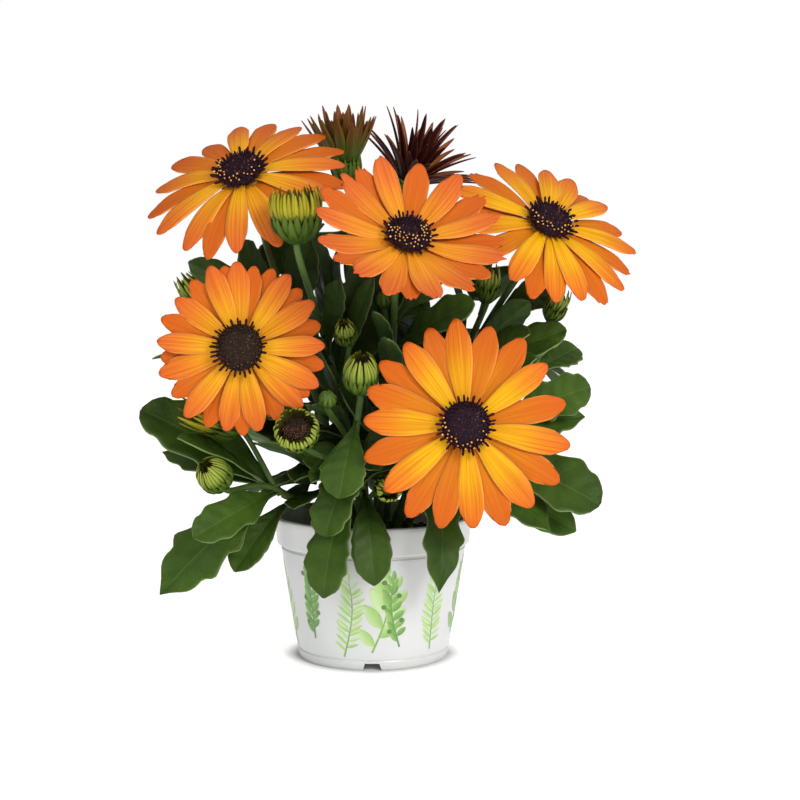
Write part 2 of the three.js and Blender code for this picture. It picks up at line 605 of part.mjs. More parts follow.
// The wanted leaf, or the first of its changed forms that is clear
function placeLeaf({ foot, tip, halfWidth, roll, arch, outline }, step, owner, bound) {
  const chord = tip.clone().sub(foot);
  const wanted = new THREE.Spherical().setFromCartesianCoords(chord.x, chord.z, -chord.y);
  for (const [size, rise, turn, twist] of TRIES) {
    const way = new THREE.Spherical(wanted.radius * size, wanted.phi - radians(rise * step),
      wanted.theta + radians(turn * step));
    const { x, y, z } = new THREE.Vector3().setFromSpherical(way);
    const end = foot.clone().add(new THREE.Vector3(x, -z, y));
    const blade = leafBlade(foot, end, halfWidth * Math.sqrt(size), roll + twist, arch, outline);
    const samples = bladeSamples(blade, 18, 9);
    if (samples.every((point) => isClear(point, foot, owner) && (!bound || inHeap(point)))) {
      addObstacles(samples, owner);
      return blade;
    }
  }
  return null;
}

// The leaf that the rule wants at place k of count on a shoot
function ruleLeaf(shoot, curve, k, owner) {
  const part = (k + 0.6) / shoot.fill;
  const foot = pointAtHeight(curve, LEAF_FOOT + (shoot.leafTop - LEAF_FOOT) * part);
  const turn = radians(GOLDEN_TURN * k + 50 * owner);
  const rise = radians((k % 2 ? 25 + 35 * part : -50 + 40 * part) + 16 * (spread(k * 4 + owner) - 0.5));
  const length = 56 - 12 * part + 8 * spread(k * 2 + owner);
  const level = new THREE.Vector3(Math.cos(turn), Math.sin(turn), 0);
  const way = level.multiplyScalar(Math.cos(rise)).addScaledVector(up, Math.sin(rise));
  return {
    foot, tip: foot.clone().addScaledVector(way, length),
    halfWidth: length * (0.2 + 0.06 * spread(k + owner)),
    roll: 24 * (spread(k * 3 + owner) - 0.5), arch: 0.14,
    outline: (k + owner) % 6 ? 'leaf' : 'toothed',
  };
}

// Young leaf k of a shoot, which grows from the joints between its full-grown leaves
function youngLeaf(shoot, curve, k, owner) {
  const part = (k + 0.5) / shoot.young;
  const foot = pointAtHeight(curve, LEAF_FOOT + (shoot.leafTop - LEAF_FOOT) * part);
  const turn = radians(GOLDEN_TURN * k + 80 * owner + 40);
  const rise = radians(5 + 50 * spread(k * 5 + owner));
  const length = 27 + 12 * spread(k * 3 + owner);
  const level = new THREE.Vector3(Math.cos(turn), Math.sin(turn), 0);
  const way = level.multiplyScalar(Math.cos(rise)).addScaledVector(up, Math.sin(rise));
  return {
    foot, tip: foot.clone().addScaledVector(way, length),
    halfWidth: 0.25 * length, roll: 30 * (spread(k + owner) - 0.5), arch: 0.12, outline: 'young',
  };
}

// ---------------------------------------------------------------- materials

const finish = (color, roughness) => new THREE.MeshStandardMaterial({ color, roughness, metalness: 0 });
const materials = {
  pot: finish(0xf1f1ee, 0.35),
  soil: finish(0x35271c, 0.95),
  green: finish(0x35602a, 0.6),
  ray: finish(0xf08a34, 0.6),
  disc: finish(0x2c1420, 0.8),
  oliveRay: finish(0x6f5526, 0.6),
  maroonRay: finish(0x4c1a1c, 0.6),
  budRay: finish(0xb7b23c, 0.6),
};

// ---------------------------------------------------------------- the pot and its compost

function potSolid() {
  const bandSlope = (RIM_RADIUS - BAND_RADIUS) / (POT_HEIGHT - BAND_FOOT);
  const bandRadius = (height) => BAND_RADIUS + bandSlope * (height - BAND_FOOT);
  const neck = bandRadius(BAND_FOOT) - BAND_STEP;
  const wallRadius = (height) => FOOT_RADIUS + 0.6 + ((neck - FOOT_RADIUS - 0.6) * height) / BAND_FOOT;
  const outside = [[0, FLOOR], [FOOT_RADIUS - 2.4, FLOOR], [FOOT_RADIUS - 1.4, 0], [FOOT_RADIUS, 0],
    [wallRadius(1), 1], [wallRadius(GROOVE_HEIGHT - 0.6), GROOVE_HEIGHT - 0.6],
    [wallRadius(GROOVE_HEIGHT) - 0.5, GROOVE_HEIGHT],
    [wallRadius(GROOVE_HEIGHT + 0.6), GROOVE_HEIGHT + 0.6], [neck, BAND_FOOT],
    [bandRadius(BAND_FOOT), BAND_FOOT + 1.6], [bandRadius(61), 61],
    [RIM_RADIUS + 0.4, 62.4], [RIM_RADIUS + 0.4, POT_HEIGHT - 0.4], [RIM_RADIUS - 0.2, POT_HEIGHT]];
  const inside = [[RIM_RADIUS - WALL - 0.4, POT_HEIGHT], [bandRadius(BAND_FOOT + 3) - WALL, BAND_FOOT + 3],
    [neck - WALL, BAND_FOOT + 1], [FOOT_RADIUS - WALL, FLOOR + WALL], [0, FLOOR + WALL]];
  const body = solid(turned([...outside, ...inside], POT_SIDES));

  const notchCorners = [[-NOTCH.width / 2, -1], [NOTCH.width / 2, -1],
    [NOTCH.top / 2, NOTCH.height], [-NOTCH.top / 2, NOTCH.height]];
  const notchShape = new THREE.Shape(notchCorners.map(([x, y]) => new THREE.Vector2(x, y)));
  const tools = [];
  for (let i = 0; i < NOTCH.count; i++) {
    const notch = new THREE.ExtrudeGeometry(notchShape, { depth: 5, bevelEnabled: false });
    notch.rotateX(Math.PI / 2).translate(0, 1.5 - FOOT_RADIUS + 1.2, 0);
    tools.push(solid(notch.rotateZ((i * 2 * Math.PI) / NOTCH.count)));
  }
  for (let i = 0; i < DRAIN.count; i++) {
    const drain = new THREE.CylinderGeometry(DRAIN.radius, DRAIN.radius, 4, 8).rotateX(Math.PI / 2);
    drain.translate(DRAIN.circle, 0, FLOOR + WALL / 2);
    tools.push(solid(drain.rotateZ(((i + 0.5) * 2 * Math.PI) / DRAIN.count)));
  }
  return cut(body, tools);
}

function soilSolid() {
  const wall = (height) => FOOT_RADIUS - WALL - FIT
    + ((BAND_RADIUS - BAND_STEP - FOOT_RADIUS) * (height - FLOOR - WALL)) / (BAND_FOOT - FLOOR);
  const edge = wall(BAND_FOOT) - 0.3;
  const profile = [[0, FLOOR + WALL + FIT], [wall(FLOOR + WALL) - 0.5, FLOOR + WALL + FIT],
    [edge, BAND_FOOT], [edge - 0.2, SOIL_TOP - 1.8], [34, SOIL_TOP - 0.6], [24, SOIL_TOP], [0, SOIL_TOP]];
  const body = solid(turned(profile, 16).rotateZ(0.05));
  const sockets = SHOOTS.map(({ root }) => {
    const socket = new THREE.CylinderGeometry(SOCKET_RADIUS, SOCKET_RADIUS, 2 * SOCKET_DEPTH, 4);
    socket.rotateX(Math.PI / 2).translate(root[0], root[1], SOIL_TOP - FIT);
    return solid(socket);
  });
  return cut(body, sockets);
}

// ---------------------------------------------------------------- assembly

const plant = new THREE.Group();
plant.add(mesh('pot', potSolid(), materials.pot));
plant.add(mesh('soil', soilSolid(), materials.soil));

BLOOMS.forEach((bloom, i) => {
  const frame = headFrame(bloom);
  const rays = bloomRays(bloom);
  rays.forEach((ray) => addObstacles(bladeSamples(ray, 7, 3), 'heads'));
  plant.add(mesh(`bloom_${i + 1}_rays`, join([bloomHub(bloom), ...rays.map(bladeSolid)]), materials.ray));
  const disc = discSolid(frame, bloom.disc ?? DISC_PART * bloom.radius, HUB_TOP + FIT, 12);
  plant.add(mesh(`bloom_${i + 1}_disc`, disc, materials.disc));
});

HALF_OPEN.forEach((head, i) => {
  const frame = headFrame(head);
  const rays = halfOpenRays(head);
  rays.forEach((ray) => addObstacles(bladeSamples(ray, 6, 1), 'heads'));
  const hub = headTurned(frame, [[0, -1], [4.6, -1], [5.2, 0.4], [3.6, 1.6], [0, 1.6]], 10);
  plant.add(mesh(`half_open_${i + 1}_rays`, join([hub, ...rays.map(bladeSolid)]),
    i ? materials.maroonRay : materials.oliveRay));
});

Object.entries(BUDS).filter(([, bud]) => !bud.closed).forEach(([name, bud]) => {
  const frame = headFrame(bud);
  const rays = budRays(bud);
  rays.forEach((ray) => addObstacles(bladeSamples(ray, 5, 1), 'heads'));
  const body = bud.crown ? crownSolid(bud) : join([budHub(bud), ...rays.map(bladeSolid)]);
  plant.add(mesh(`${name}_rays`, body, materials.budRay));
  if (!bud.eye) return;
  const eyeRadius = (bud.eyePart ?? 0.4) * bud.radius;
  plant.add(mesh(`${name}_disc`, discSolid(frame, eyeRadius, 1.4 + FIT, 6), materials.disc));
});

// Stems and cups come before any leaf, so that every leaf keeps clear of all of them
const stems = SHOOTS.map((shoot, owner) => {
  const curves = [shootCurve(shoot), ...(shoot.stalks ?? []).map((stalk) => stalkCurve(shoot, stalk))];
  curves.forEach((curve) => addObstacles(curve.getPoints(80), owner));
  const parts = curves.map((curve, i) => rod(curve, i ? STALK_RADIUS : STEM_RADIUS));
  const peg = new THREE.CylinderGeometry(STEM_RADIUS, STEM_RADIUS, SOCKET_DEPTH + 5, STEM_SIDES);
  peg.rotateX(Math.PI / 2).translate(...shoot.root, SOIL_TOP + 2.5 - SOCKET_DEPTH / 2);
  parts.push(solid(peg));
  [headOf(shoot), ...(shoot.stalks ?? []).map(({ bud }) => ({ ...BUDS[bud], cup: budCup(BUDS[bud]) }))]
    .filter((head) => head)
    .forEach((head) => parts.push(head.closed ? closedSolid(head)
      : cupSolid(headFrame(head), head.cup.radius, head.cup.top, head.cup.depth)));
  return { curve: curves[0], parts };
});

// First the leaves with a place of their own, and then those that follow the rule
SHOOTS.forEach((shoot, owner) => {
  const { curve, parts } = stems[owner];
  shoot.leaves.forEach(([height, tip, halfWidth, roll, arch, outline]) => {
    const wanted = { foot: pointAtHeight(curve, height), tip: vector(tip), halfWidth, roll, arch, outline };
    const blade = placeLeaf(wanted, 6, owner, false);
    if (blade) parts.push(bladeSolid(blade));
  });
});
SHOOTS.forEach((shoot, owner) => {
  const { curve, parts } = stems[owner];
  for (let k = 0; k < shoot.fill; k++) {
    const blade = placeLeaf(ruleLeaf(shoot, curve, k, owner), 17, owner, true);
    if (blade) parts.push(bladeSolid(blade));
  }
});
SHOOTS.forEach((shoot, owner) => {
  const { curve, parts } = stems[owner];
  for (let k = 0; k < (shoot.young ?? 0); k++) {
    const blade = placeLeaf(youngLeaf(shoot, curve, k, owner), 17, owner, true);
    if (blade) parts.push(bladeSolid(blade));
  }
});
stems.forEach(({ parts }, i) => plant.add(mesh(`shoot_${i + 1}`, join(parts), materials.green)));

// The plant leans out to one side of its pot, so the origin is on the ground under its middle
const middle = new THREE.Box3().setFromObject(plant).getCenter(new THREE.Vector3());
plant.position.set(-middle.x, -middle.y, 0);

export default plant;
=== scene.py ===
# %% [markdown]
# # An osteospermum in its nursery pot
#
# An osteospermum, or Cape daisy, is sold as a small leafy plant with a few large daisies on
# stalks. This lesson dresses the plain solids of one such plant. Each solid already has the
# right size and place, so every finer piece is made over one of them and then takes its place.
#
# All lengths are in millimetres from the middle of the pot's foot, as on a drawing. One matrix
# turns a finished mesh into metres in the model's own frame.

# %% Load the plain model
import json
import math

import bmesh
import bpy
import numpy as np
from mathutils import Matrix, Vector, noise
from mathutils.kdtree import KDTree

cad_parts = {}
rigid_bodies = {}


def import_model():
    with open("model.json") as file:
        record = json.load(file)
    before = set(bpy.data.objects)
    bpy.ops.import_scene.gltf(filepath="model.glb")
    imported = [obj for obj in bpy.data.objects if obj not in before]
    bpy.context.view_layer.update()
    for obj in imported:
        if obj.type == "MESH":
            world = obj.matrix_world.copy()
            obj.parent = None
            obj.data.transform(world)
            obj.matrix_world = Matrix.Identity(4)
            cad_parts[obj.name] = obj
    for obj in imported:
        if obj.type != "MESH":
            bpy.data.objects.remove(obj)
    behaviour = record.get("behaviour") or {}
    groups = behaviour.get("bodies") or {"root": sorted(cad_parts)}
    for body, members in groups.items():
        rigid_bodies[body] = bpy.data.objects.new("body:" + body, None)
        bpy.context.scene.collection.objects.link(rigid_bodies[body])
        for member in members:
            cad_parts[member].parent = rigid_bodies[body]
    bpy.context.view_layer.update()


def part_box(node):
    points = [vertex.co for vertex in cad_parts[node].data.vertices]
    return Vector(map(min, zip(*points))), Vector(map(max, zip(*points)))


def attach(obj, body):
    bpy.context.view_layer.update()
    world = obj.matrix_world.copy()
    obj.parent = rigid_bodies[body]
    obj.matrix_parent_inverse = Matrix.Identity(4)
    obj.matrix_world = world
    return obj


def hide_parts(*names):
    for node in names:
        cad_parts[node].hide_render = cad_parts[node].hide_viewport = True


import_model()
pot_low, pot_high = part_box("pot")
pot_foot = Vector(((pot_low.x + pot_high.x) / 2, (pot_low.y + pot_high.y) / 2, 0))
TO_FRAME = Matrix.Translation(pot_foot) @ Matrix.Scale(0.001, 4)
print("the pot's foot stands at", pot_foot[:])

# %% [markdown]
# ## Finishes
#
# A finish is a small graph of nodes, and the light of a room is one too. A few helpers keep the
# graphs short: one adds a node with its sockets set or linked, the others add arithmetic, a
# colour ramp, a mixture or noise. Patterns that follow a petal or a leaf read its UV map, in
# which U runs across and V runs from the foot to the tip, so a vein stays where it belongs
# however the blade bends.

# %% Helpers for graphs of nodes
def add_node(tree, kind, sockets=None, **settings):
    """A node whose sockets, by name or number, are linked to others or set to values."""
    node = tree.nodes.new("ShaderNode" + kind)
    for name, value in settings.items():
        setattr(node, name, value)
    for name, value in (sockets or {}).items():
        if isinstance(value, bpy.types.NodeSocket):
            tree.links.new(value, node.inputs[name])
        else:
            node.inputs[name].default_value = value
    return node


def maths(tree, operation, *values):
    return add_node(tree, "Math", dict(enumerate(values)), operation=operation).outputs[0]


def add_ramp(tree, value, stops):
    ramp = add_node(tree, "ValToRGB", {"Fac": value})
    while len(ramp.color_ramp.elements) < len(stops):
        ramp.color_ramp.elements.new(1)
    for element, (place, colour) in zip(ramp.color_ramp.elements, stops):
        element.position = place
        element.color = (*colour, 1)
    return ramp.outputs["Color"]


def mixed(tree, factor, first, second, mode="MIX"):
    """Two colours mixed, each of them a socket or its red, green and blue."""
    first, second = (colour if isinstance(colour, bpy.types.NodeSocket) else (*colour, 1)
                     for colour in (first, second))
    node = add_node(tree, "Mix", {0: factor, 6: first, 7: second}, data_type="RGBA", blend_type=mode)
    return node.outputs[2]


def speckle(tree, size, detail=3):
    """Noise whose specks are about size millimetres across."""
    where = add_node(tree, "TexCoord").outputs["Object"]
    sockets = {"Vector": where, "Scale": 1000 / size, "Detail": detail}
    return add_node(tree, "TexNoise", sockets).outputs["Fac"]


print("helpers for graphs are ready")

# %% Helpers for finishes
def new_finish(name, **shader):
    """A material, its node tree, and its shader with the constant sockets set."""
    finish = bpy.data.materials.new(name)
    finish.use_nodes = True
    tree = finish.node_tree
    surface = tree.nodes["Principled BSDF"]
    for socket, value in shader.items():
        surface.inputs[socket.replace("_", " ")].default_value = value
    return finish, tree, surface


def set_colour(tree, surface, colour):
    tree.links.new(colour, surface.inputs["Base Color"])


def set_bump(tree, surface, height, millimetres):
    bump = add_node(tree, "Bump", {"Height": height, "Distance": millimetres / 1000})
    tree.links.new(bump.outputs["Normal"], surface.inputs["Normal"])


def decimetres_out(tree):
    """How far a place lies out from the pot's axis."""
    place = add_node(tree, "TexCoord").outputs["Object"]
    for operation, value in (("SUBTRACT", pot_foot), ("MULTIPLY", (1, 1, 0))):
        place = add_node(tree, "VectorMath", {0: place, 1: value}, operation=operation).outputs["Vector"]
    metres = add_node(tree, "VectorMath", {0: place}, operation="LENGTH").outputs["Value"]
    return maths(tree, "MULTIPLY", metres, 10)


print("helpers for finishes are ready")

# %% Helpers for the finishes of blades
def blade_places(tree):
    """Across a blade, from 0 at its middle to 1 at its edges, along it, its own tone, and U."""
    parts = add_node(tree, "SeparateXYZ", {"Vector": add_node(tree, "UVMap", uv_map="blade").outputs[0]})
    across = maths(tree, "ABSOLUTE", maths(tree, "MULTIPLY_ADD", parts.outputs["X"], 2, -1))
    tone = add_node(tree, "Attribute", attribute_name="tone").outputs["Fac"]
    return across, parts.outputs["Y"], tone, parts.outputs["X"]


def streaks(tree, lines, along, tone):
    """Fine lines that run from a blade's foot to its tip, another set for each tone."""
    across = blade_places(tree)[3]
    sockets = {"X": maths(tree, "MULTIPLY", across, lines), "Y": along,
               "Z": maths(tree, "MULTIPLY", tone, 37)}
    where = add_node(tree, "CombineXYZ", sockets).outputs["Vector"]
    return add_node(tree, "TexNoise", {"Vector": where, "Scale": 1, "Detail": 2}).outputs["Fac"]


print("helpers for blades' finishes are ready")

# %% [markdown]
# ## Studio
#
# Plants for a catalogue are shot on white, with a long lens and soft light, so that hardly any
# shadow falls between the petals. The light of the room comes mostly from above and from the
# right, and what the camera sees behind the plant is plain white, so the world has a part for
# each. Two soft boxes, a strong one on the right and a weak one high on the left, add the gentle
# shine that shows which way a petal or a leaf turns. They stand well away from the plant, so they
# alone are placed in metres.

# %% Camera
def look_from(place, pitch, lens):
    eye = bpy.data.cameras.new("camera")
    eye.lens = lens
    camera = bpy.data.objects.new("camera", eye)
    camera.location = TO_FRAME @ Vector(place)
    camera.rotation_euler = (math.radians(90 - pitch), 0, 0)
    bpy.context.collection.objects.link(camera)
    bpy.context.scene.camera = camera
    return camera


camera = look_from(place=(12.2, -700, 174), pitch=4.7, lens=69.66)
bpy.context.scene.view_settings.view_transform = "Standard"
print("camera at", camera.location[:])

# %% Light of the room
world = bpy.data.worlds.new("white_studio")
world.use_nodes = True
sky = world.node_tree
around = add_node(sky, "SeparateXYZ", {0: add_node(sky, "TexCoord").outputs["Generated"]})
from_above = add_node(sky, "MapRange", {"Value": around.outputs["Z"], "To Min": 0.3, "To Max": 0.8})
from_right = add_node(sky, "MapRange", {"Value": around.outputs["X"], "From Min": -1,
                                        "To Min": 0.45, "To Max": 1.1})
light = maths(sky, "MULTIPLY", from_above.outputs["Result"], from_right.outputs["Result"])
seen = add_node(sky, "LightPath").outputs["Is Camera Ray"]
background = sky.nodes["Background"]
background.inputs["Color"].default_value = (1, 1, 1, 1)
sky.links.new(maths(sky, "MAXIMUM", light, seen), background.inputs["Strength"])
bpy.context.scene.world = world
print("world:", world.name)

# %% Soft boxes
def soft_box(name, place, target, size, watts):
    lamp = bpy.data.lights.new(name, "AREA")
    lamp.size = size
    lamp.energy = watts
    box = bpy.data.objects.new(name, lamp)
    box.location = place
    box.rotation_euler = (Vector(target) - Vector(place)).to_track_quat("-Z", "Y").to_euler()
    bpy.context.collection.objects.link(box)


soft_box("key_light", place=(0.55, -0.9, 0.65), target=(0, 0, 0.12), size=0.4, watts=7.2)
soft_box("fill_light", place=(-0.6, -0.75, 0.85), target=(0, 0, 0.15), size=0.5, watts=2.5)

# %% [markdown]
# ## From a bmesh to a piece
#
# Each piece is modelled as a bmesh in millimetres. The last step puts it in the frame, gives it
# its finishes, hides the plain solids that it stands for, and lets it ride on the one body that
# the model has. A blade, such as a petal or a leaf, is modelled as a sheet, and a Solidify
# modifier gives it its thickness, because that also gives its underside a finish of its own.

# %% Finish and thicken a piece
def finish_piece(bm, name, finishes, nodes):
    bmesh.ops.transform(bm, matrix=TO_FRAME, verts=bm.verts)
    for face in bm.faces:
        face.smooth = True
    mesh = bpy.data.meshes.new(name)
    bm.to_mesh(mesh)
    bm.free()
    for finish in finishes:
        mesh.materials.append(finish)
    piece = bpy.data.objects.new(name, mesh)
    bpy.context.collection.objects.link(piece)
    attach(piece, "root")
    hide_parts(*nodes)
    print(f"{name}: {len(mesh.polygons)} faces")
    return piece


def thicken(piece, millimetres, thin_part=1.0):
    """Gives sheets their thickness. Where their foot has weight they are thickest."""
    piece.vertex_groups.new(name="foot")
    wall = piece.modifiers.new("thickness", "SOLIDIFY")
    wall.thickness = millimetres / 1000
    wall.offset = 0
    wall.material_offset = 1
    if thin_part < 1:
        wall.vertex_group = "foot"
        wall.thickness_vertex_group = thin_part


print("a piece can be finished and thickened")

# %% Spin a section into a shape
def turned_shape(bm, profile, steps, place=None):
    """Spins (radius, height) points, the first and last on the axis, and gives the faces."""
    corners = [bm.verts.new((radius, 0, height)) for radius, height in profile]
    edges = [bm.edges.new(pair) for pair in zip(corners, corners[1:])]
    bmesh.ops.spin(bm, geom=corners + edges, cent=(0, 0, 0), axis=(0, 0, 1),
                   angle=2 * math.pi, steps=steps, use_merge=True, use_duplicate=False)
    verts = linked_verts(corners[0])
    bmesh.ops.remove_doubles(bm, verts=verts, dist=1e-4)
    verts = [vert for vert in verts if vert.is_valid]
    faces = list(dict.fromkeys(face for vert in verts for face in vert.link_faces))
    bmesh.ops.recalc_face_normals(bm, faces=faces)
    if place:
        bmesh.ops.transform(bm, matrix=place, verts=verts)
    return faces


def linked_verts(first):
    """Every vertex that edges join to the first one, in the same order each time."""
    found, edge_of = {first: True}, [first]
    while edge_of:
        for edge in edge_of.pop().link_edges:
            for vert in edge.verts:
                if vert not in found:
                    found[vert] = True
                    edge_of.append(vert)
    return list(found)


print("sections can be spun")

# %% [markdown]
# ## Pot
#
# The pot is moulded in white plastic. Its wall tapers to a foot, a stepped band strengthens the
# rim, and water leaves through four holes in the floor and four notches in the foot ring. A
# moulding that is round all the way is best made by spinning its section about the axis. The
# notches and holes are cut afterwards with a Boolean, as the mould cuts them, and a small Bevel
# rounds the edges that the light would otherwise find too sharp.

# %% Pot's section
RIM_RADIUS, POT_HEIGHT, BAND_FOOT, BAND_RADIUS, BAND_STEP = 45, 64.6, 51.5, 43.8, 1.6
FOOT_RADIUS, WALL, FLOOR, GROOVE = 33.4, 1.2, 3.0, 4.6
NECK = BAND_RADIUS - BAND_STEP


def band_radius(height):
    return BAND_RADIUS + (RIM_RADIUS - BAND_RADIUS) * (height - BAND_FOOT) / (POT_HEIGHT - BAND_FOOT)


def wall_radius(height):
    return FOOT_RADIUS + 0.6 + (NECK - FOOT_RADIUS - 0.6) * height / BAND_FOOT


pot_section = [
    (0, FLOOR), (FOOT_RADIUS - 2.4, FLOOR), (FOOT_RADIUS - 1.4, 0), (FOOT_RADIUS, 0), (wall_radius(1), 1),
    (wall_radius(GROOVE - 0.6), GROOVE - 0.6), (wall_radius(GROOVE) - 0.5, GROOVE),
    (wall_radius(GROOVE + 0.6), GROOVE + 0.6), (wall_radius(20), 20), (wall_radius(36), 36),
    (wall_radius(50.1), 50.1), (NECK - 1.0, 50.5), (NECK - 1.0, BAND_FOOT + 0.4),
    (band_radius(BAND_FOOT) - 0.2, BAND_FOOT + 0.7), (band_radius(52.6), 52.6), (band_radius(61), 61),
    (RIM_RADIUS + 0.4, 62.4), (RIM_RADIUS + 0.4, POT_HEIGHT - 0.4), (RIM_RADIUS - 0.2, POT_HEIGHT),
    (RIM_RADIUS - WALL - 0.4, POT_HEIGHT), (band_radius(BAND_FOOT + 3) - WALL, BAND_FOOT + 3),
    (NECK - WALL, BAND_FOOT + 1), (FOOT_RADIUS - WALL, FLOOR + WALL), (0, FLOOR + WALL)]
print("the wall leans", round(math.degrees(math.atan2(NECK - FOOT_RADIUS, BAND_FOOT)), 1), "degrees")

# %% Pot's finish
pot_white, tree, surface = new_finish("pot_white", Roughness=0.3, IOR=1.49)
clouds = speckle(tree, 35, 2)
set_colour(tree, surface, add_ramp(tree, clouds, [(0.3, (0.6, 0.61, 0.6)), (0.7, (0.65, 0.65, 0.64))]))
set_bump(tree, surface, speckle(tree, 1.1, 2), 0.03)
print("finish:", pot_white.name)

# %% Cut a piece with a tool
def cutter(bm, name):
    """Makes an object of a shape, so that a Boolean can use it."""
    mesh = bpy.data.meshes.new(name)
    bmesh.ops.recalc_face_normals(bm, faces=bm.faces)
    bmesh.ops.transform(bm, matrix=TO_FRAME, verts=bm.verts)
    bm.to_mesh(mesh)
    bm.free()
    tool = bpy.data.objects.new(name, mesh)
    bpy.context.collection.objects.link(tool)
    return tool


def cut_away(piece, tool):
    """Cuts the tool out of the piece and throws the tool away."""
    bite = piece.modifiers.new("cut", "BOOLEAN")
    bite.object = tool
    bite.solver = "EXACT"
    bpy.context.view_layer.update()
    whole = piece.evaluated_get(bpy.context.evaluated_depsgraph_get())
    mesh = bpy.data.meshes.new_from_object(whole)
    piece.modifiers.clear()
    piece.data = mesh
    mesh.name = piece.name
    bpy.data.objects.remove(tool)


print("pieces can be cut")

# %% Spin the pot, cut its notches and holes
NOTCH_TOP, HOLE_RADIUS, HOLES_OUT = 3.4, 3, 22
pot_shape = bmesh.new()
turned_shape(pot_shape, pot_section, 96)
pot = finish_piece(pot_shape, "moulded_pot", [pot_white], ["pot"])
tools = bmesh.new()
for quarter in range(4):
    turn = Matrix.Rotation(quarter * math.pi / 2, 4, "Z")
    block = bmesh.ops.create_cube(tools, size=1)["verts"]
    for vert in block:
        wide = 4.5 if vert.co.z < 0 else 3.2
        vert.co = (math.copysign(wide, vert.co.x), -FOOT_RADIUS + 1 + 5 * vert.co.y,
                   -1 if vert.co.z < 0 else NOTCH_TOP)
    bmesh.ops.transform(tools, matrix=turn, verts=block)
    place = (turn @ Matrix.Rotation(math.pi / 4, 4, "Z")
             @ Matrix.Translation((HOLES_OUT, 0, FLOOR + WALL / 2)))
    bmesh.ops.create_cone(tools, cap_ends=True, segments=24, radius1=HOLE_RADIUS, radius2=HOLE_RADIUS,
                          depth=4, matrix=place)
cut_away(pot, cutter(tools, "pot_tools"))
edge = pot.modifiers.new("soft_edges", "BEVEL")
edge.width = 0.22 / 1000
edge.segments = 2
edge.limit_method = "ANGLE"
edge.angle_limit = math.radians(28)
print("pot after its cuts:", len(pot.data.polygons), "faces")

# %% [markdown]
# ## Printed sprigs
#
# Nursery pots are often printed with greenery. Here leafy twigs climb all round the wall in three
# kinds, broad-leaved, fern-like and one with berries, pale ones behind and darker ones in front.
# They are flat shapes, so they are modelled flat, as distance along the wall and height, and then
# wrapped round it a hair's breadth off the plastic. One half of each leaf is lighter than the
# other, as in a watercolour.

# %% A flat leaf and a flat stem
def flat_leaf(bm, foot, angle, length, width, tone):
    """A pointed ellipse with its foot at a place, one half of it lighter."""
    grid = bmesh.ops.create_grid(bm, x_segments=4, y_segments=8, size=1)["verts"]
    cos, sin = math.cos(angle), math.sin(angle)
    tones = bm.verts.layers.float["tone"]
    for vert in grid:
        along = (vert.co.y + 1) / 2
        vert[tones] = min(1, max(0, tone + 0.16 * vert.co.x + 0.12 * along))
        across = vert.co.x * width / 2 * math.sin(math.pi * along) ** 0.8
        bend = 0.12 * length * along * along * math.copysign(1, cos)
        vert.co = (foot[0] + cos * along * length - sin * across,
                   foot[1] + sin * along * length + cos * across - bend, foot[2])
    bmesh.ops.remove_doubles(bm, verts=grid, dist=1e-3)


def flat_stem(bm, points, width, tone):
    """A thin line, which is a row of grid faces bent along the points."""
    grid = bmesh.ops.create_grid(bm, x_segments=len(points) - 1, y_segments=1, size=1)["verts"]
    tones = bm.verts.layers.float["tone"]
    for vert in grid:
        step = round((vert.co.x + 1) / 2 * (len(points) - 1))
        here = points[step]
        ahead, behind = points[min(step + 1, len(points) - 1)], points[max(step - 1, 0)]
        way = Vector((ahead[0] - behind[0], ahead[1] - behind[1])).normalized()
        part = width / 2 * (1 - 0.7 * step / len(points)) * vert.co.y
        vert.co = (here[0] - way.y * part, here[1] + way.x * part, here[2] + 0.012)
        vert[tones] = tone


print("leaves and stems can be drawn flat")

# %% A flat sprig
# Leaves on a sprig, a leaf's length, its width as a part of that, and how far it stands out
SPRIG_KINDS = [(9, 12.5, 0.5, 50), (25, 7.5, 0.24, 62), (15, 7.0, 0.42, 44)]


def flat_sprig(bm, foot, height, sway, kind, tone):
    """A stem that sways as it climbs, with leaves left and right of it."""
    count, length, width, out = SPRIG_KINDS[kind]
    steps = 24
    points = [(foot[0] + sway * math.sin(2.2 * i / steps), foot[1] + height * i / steps, foot[2])
              for i in range(steps + 1)]
    flat_stem(bm, points, 0.9, tone * 0.6)
    for k in range(count):
        part = 0.1 + 0.86 * k / (count - 1)
        x, y, lift = points[round(part * steps)]
        side = 1 if k % 2 else -1
        long = length * (0.75 + 0.5 * math.sin(2.6 * part)) * (1 - 0.35 * part)
        angle = math.pi / 2 - side * math.radians(out - 18 * part + 7 * math.sin(9 * k + foot[0]))
        flat_leaf(bm, (x, y, lift + 0.004 * (k % 3)), angle, long, long * width,
                  tone + 0.1 * math.sin(5 * k))
        if kind == 2 and k % 3 == 1:
            berry = bmesh.ops.create_circle(bm, cap_ends=True, segments=12, radius=1.1)["verts"]
            bmesh.ops.translate(bm, verts=berry, vec=(x - side * 3.4, y + 2.4, lift + 0.016))
            stalk = [(x, y, lift), (x - side * 2, y + 1.8, lift), (x - side * 3, y + 2.2, lift)]
            flat_stem(bm, stalk, 0.4, 0.2)
    flat_leaf(bm, points[-1], math.pi / 2 + 0.01, 0.7 * length, 0.7 * length * width, tone)


print("kinds of sprigs:", len(SPRIG_KINDS))

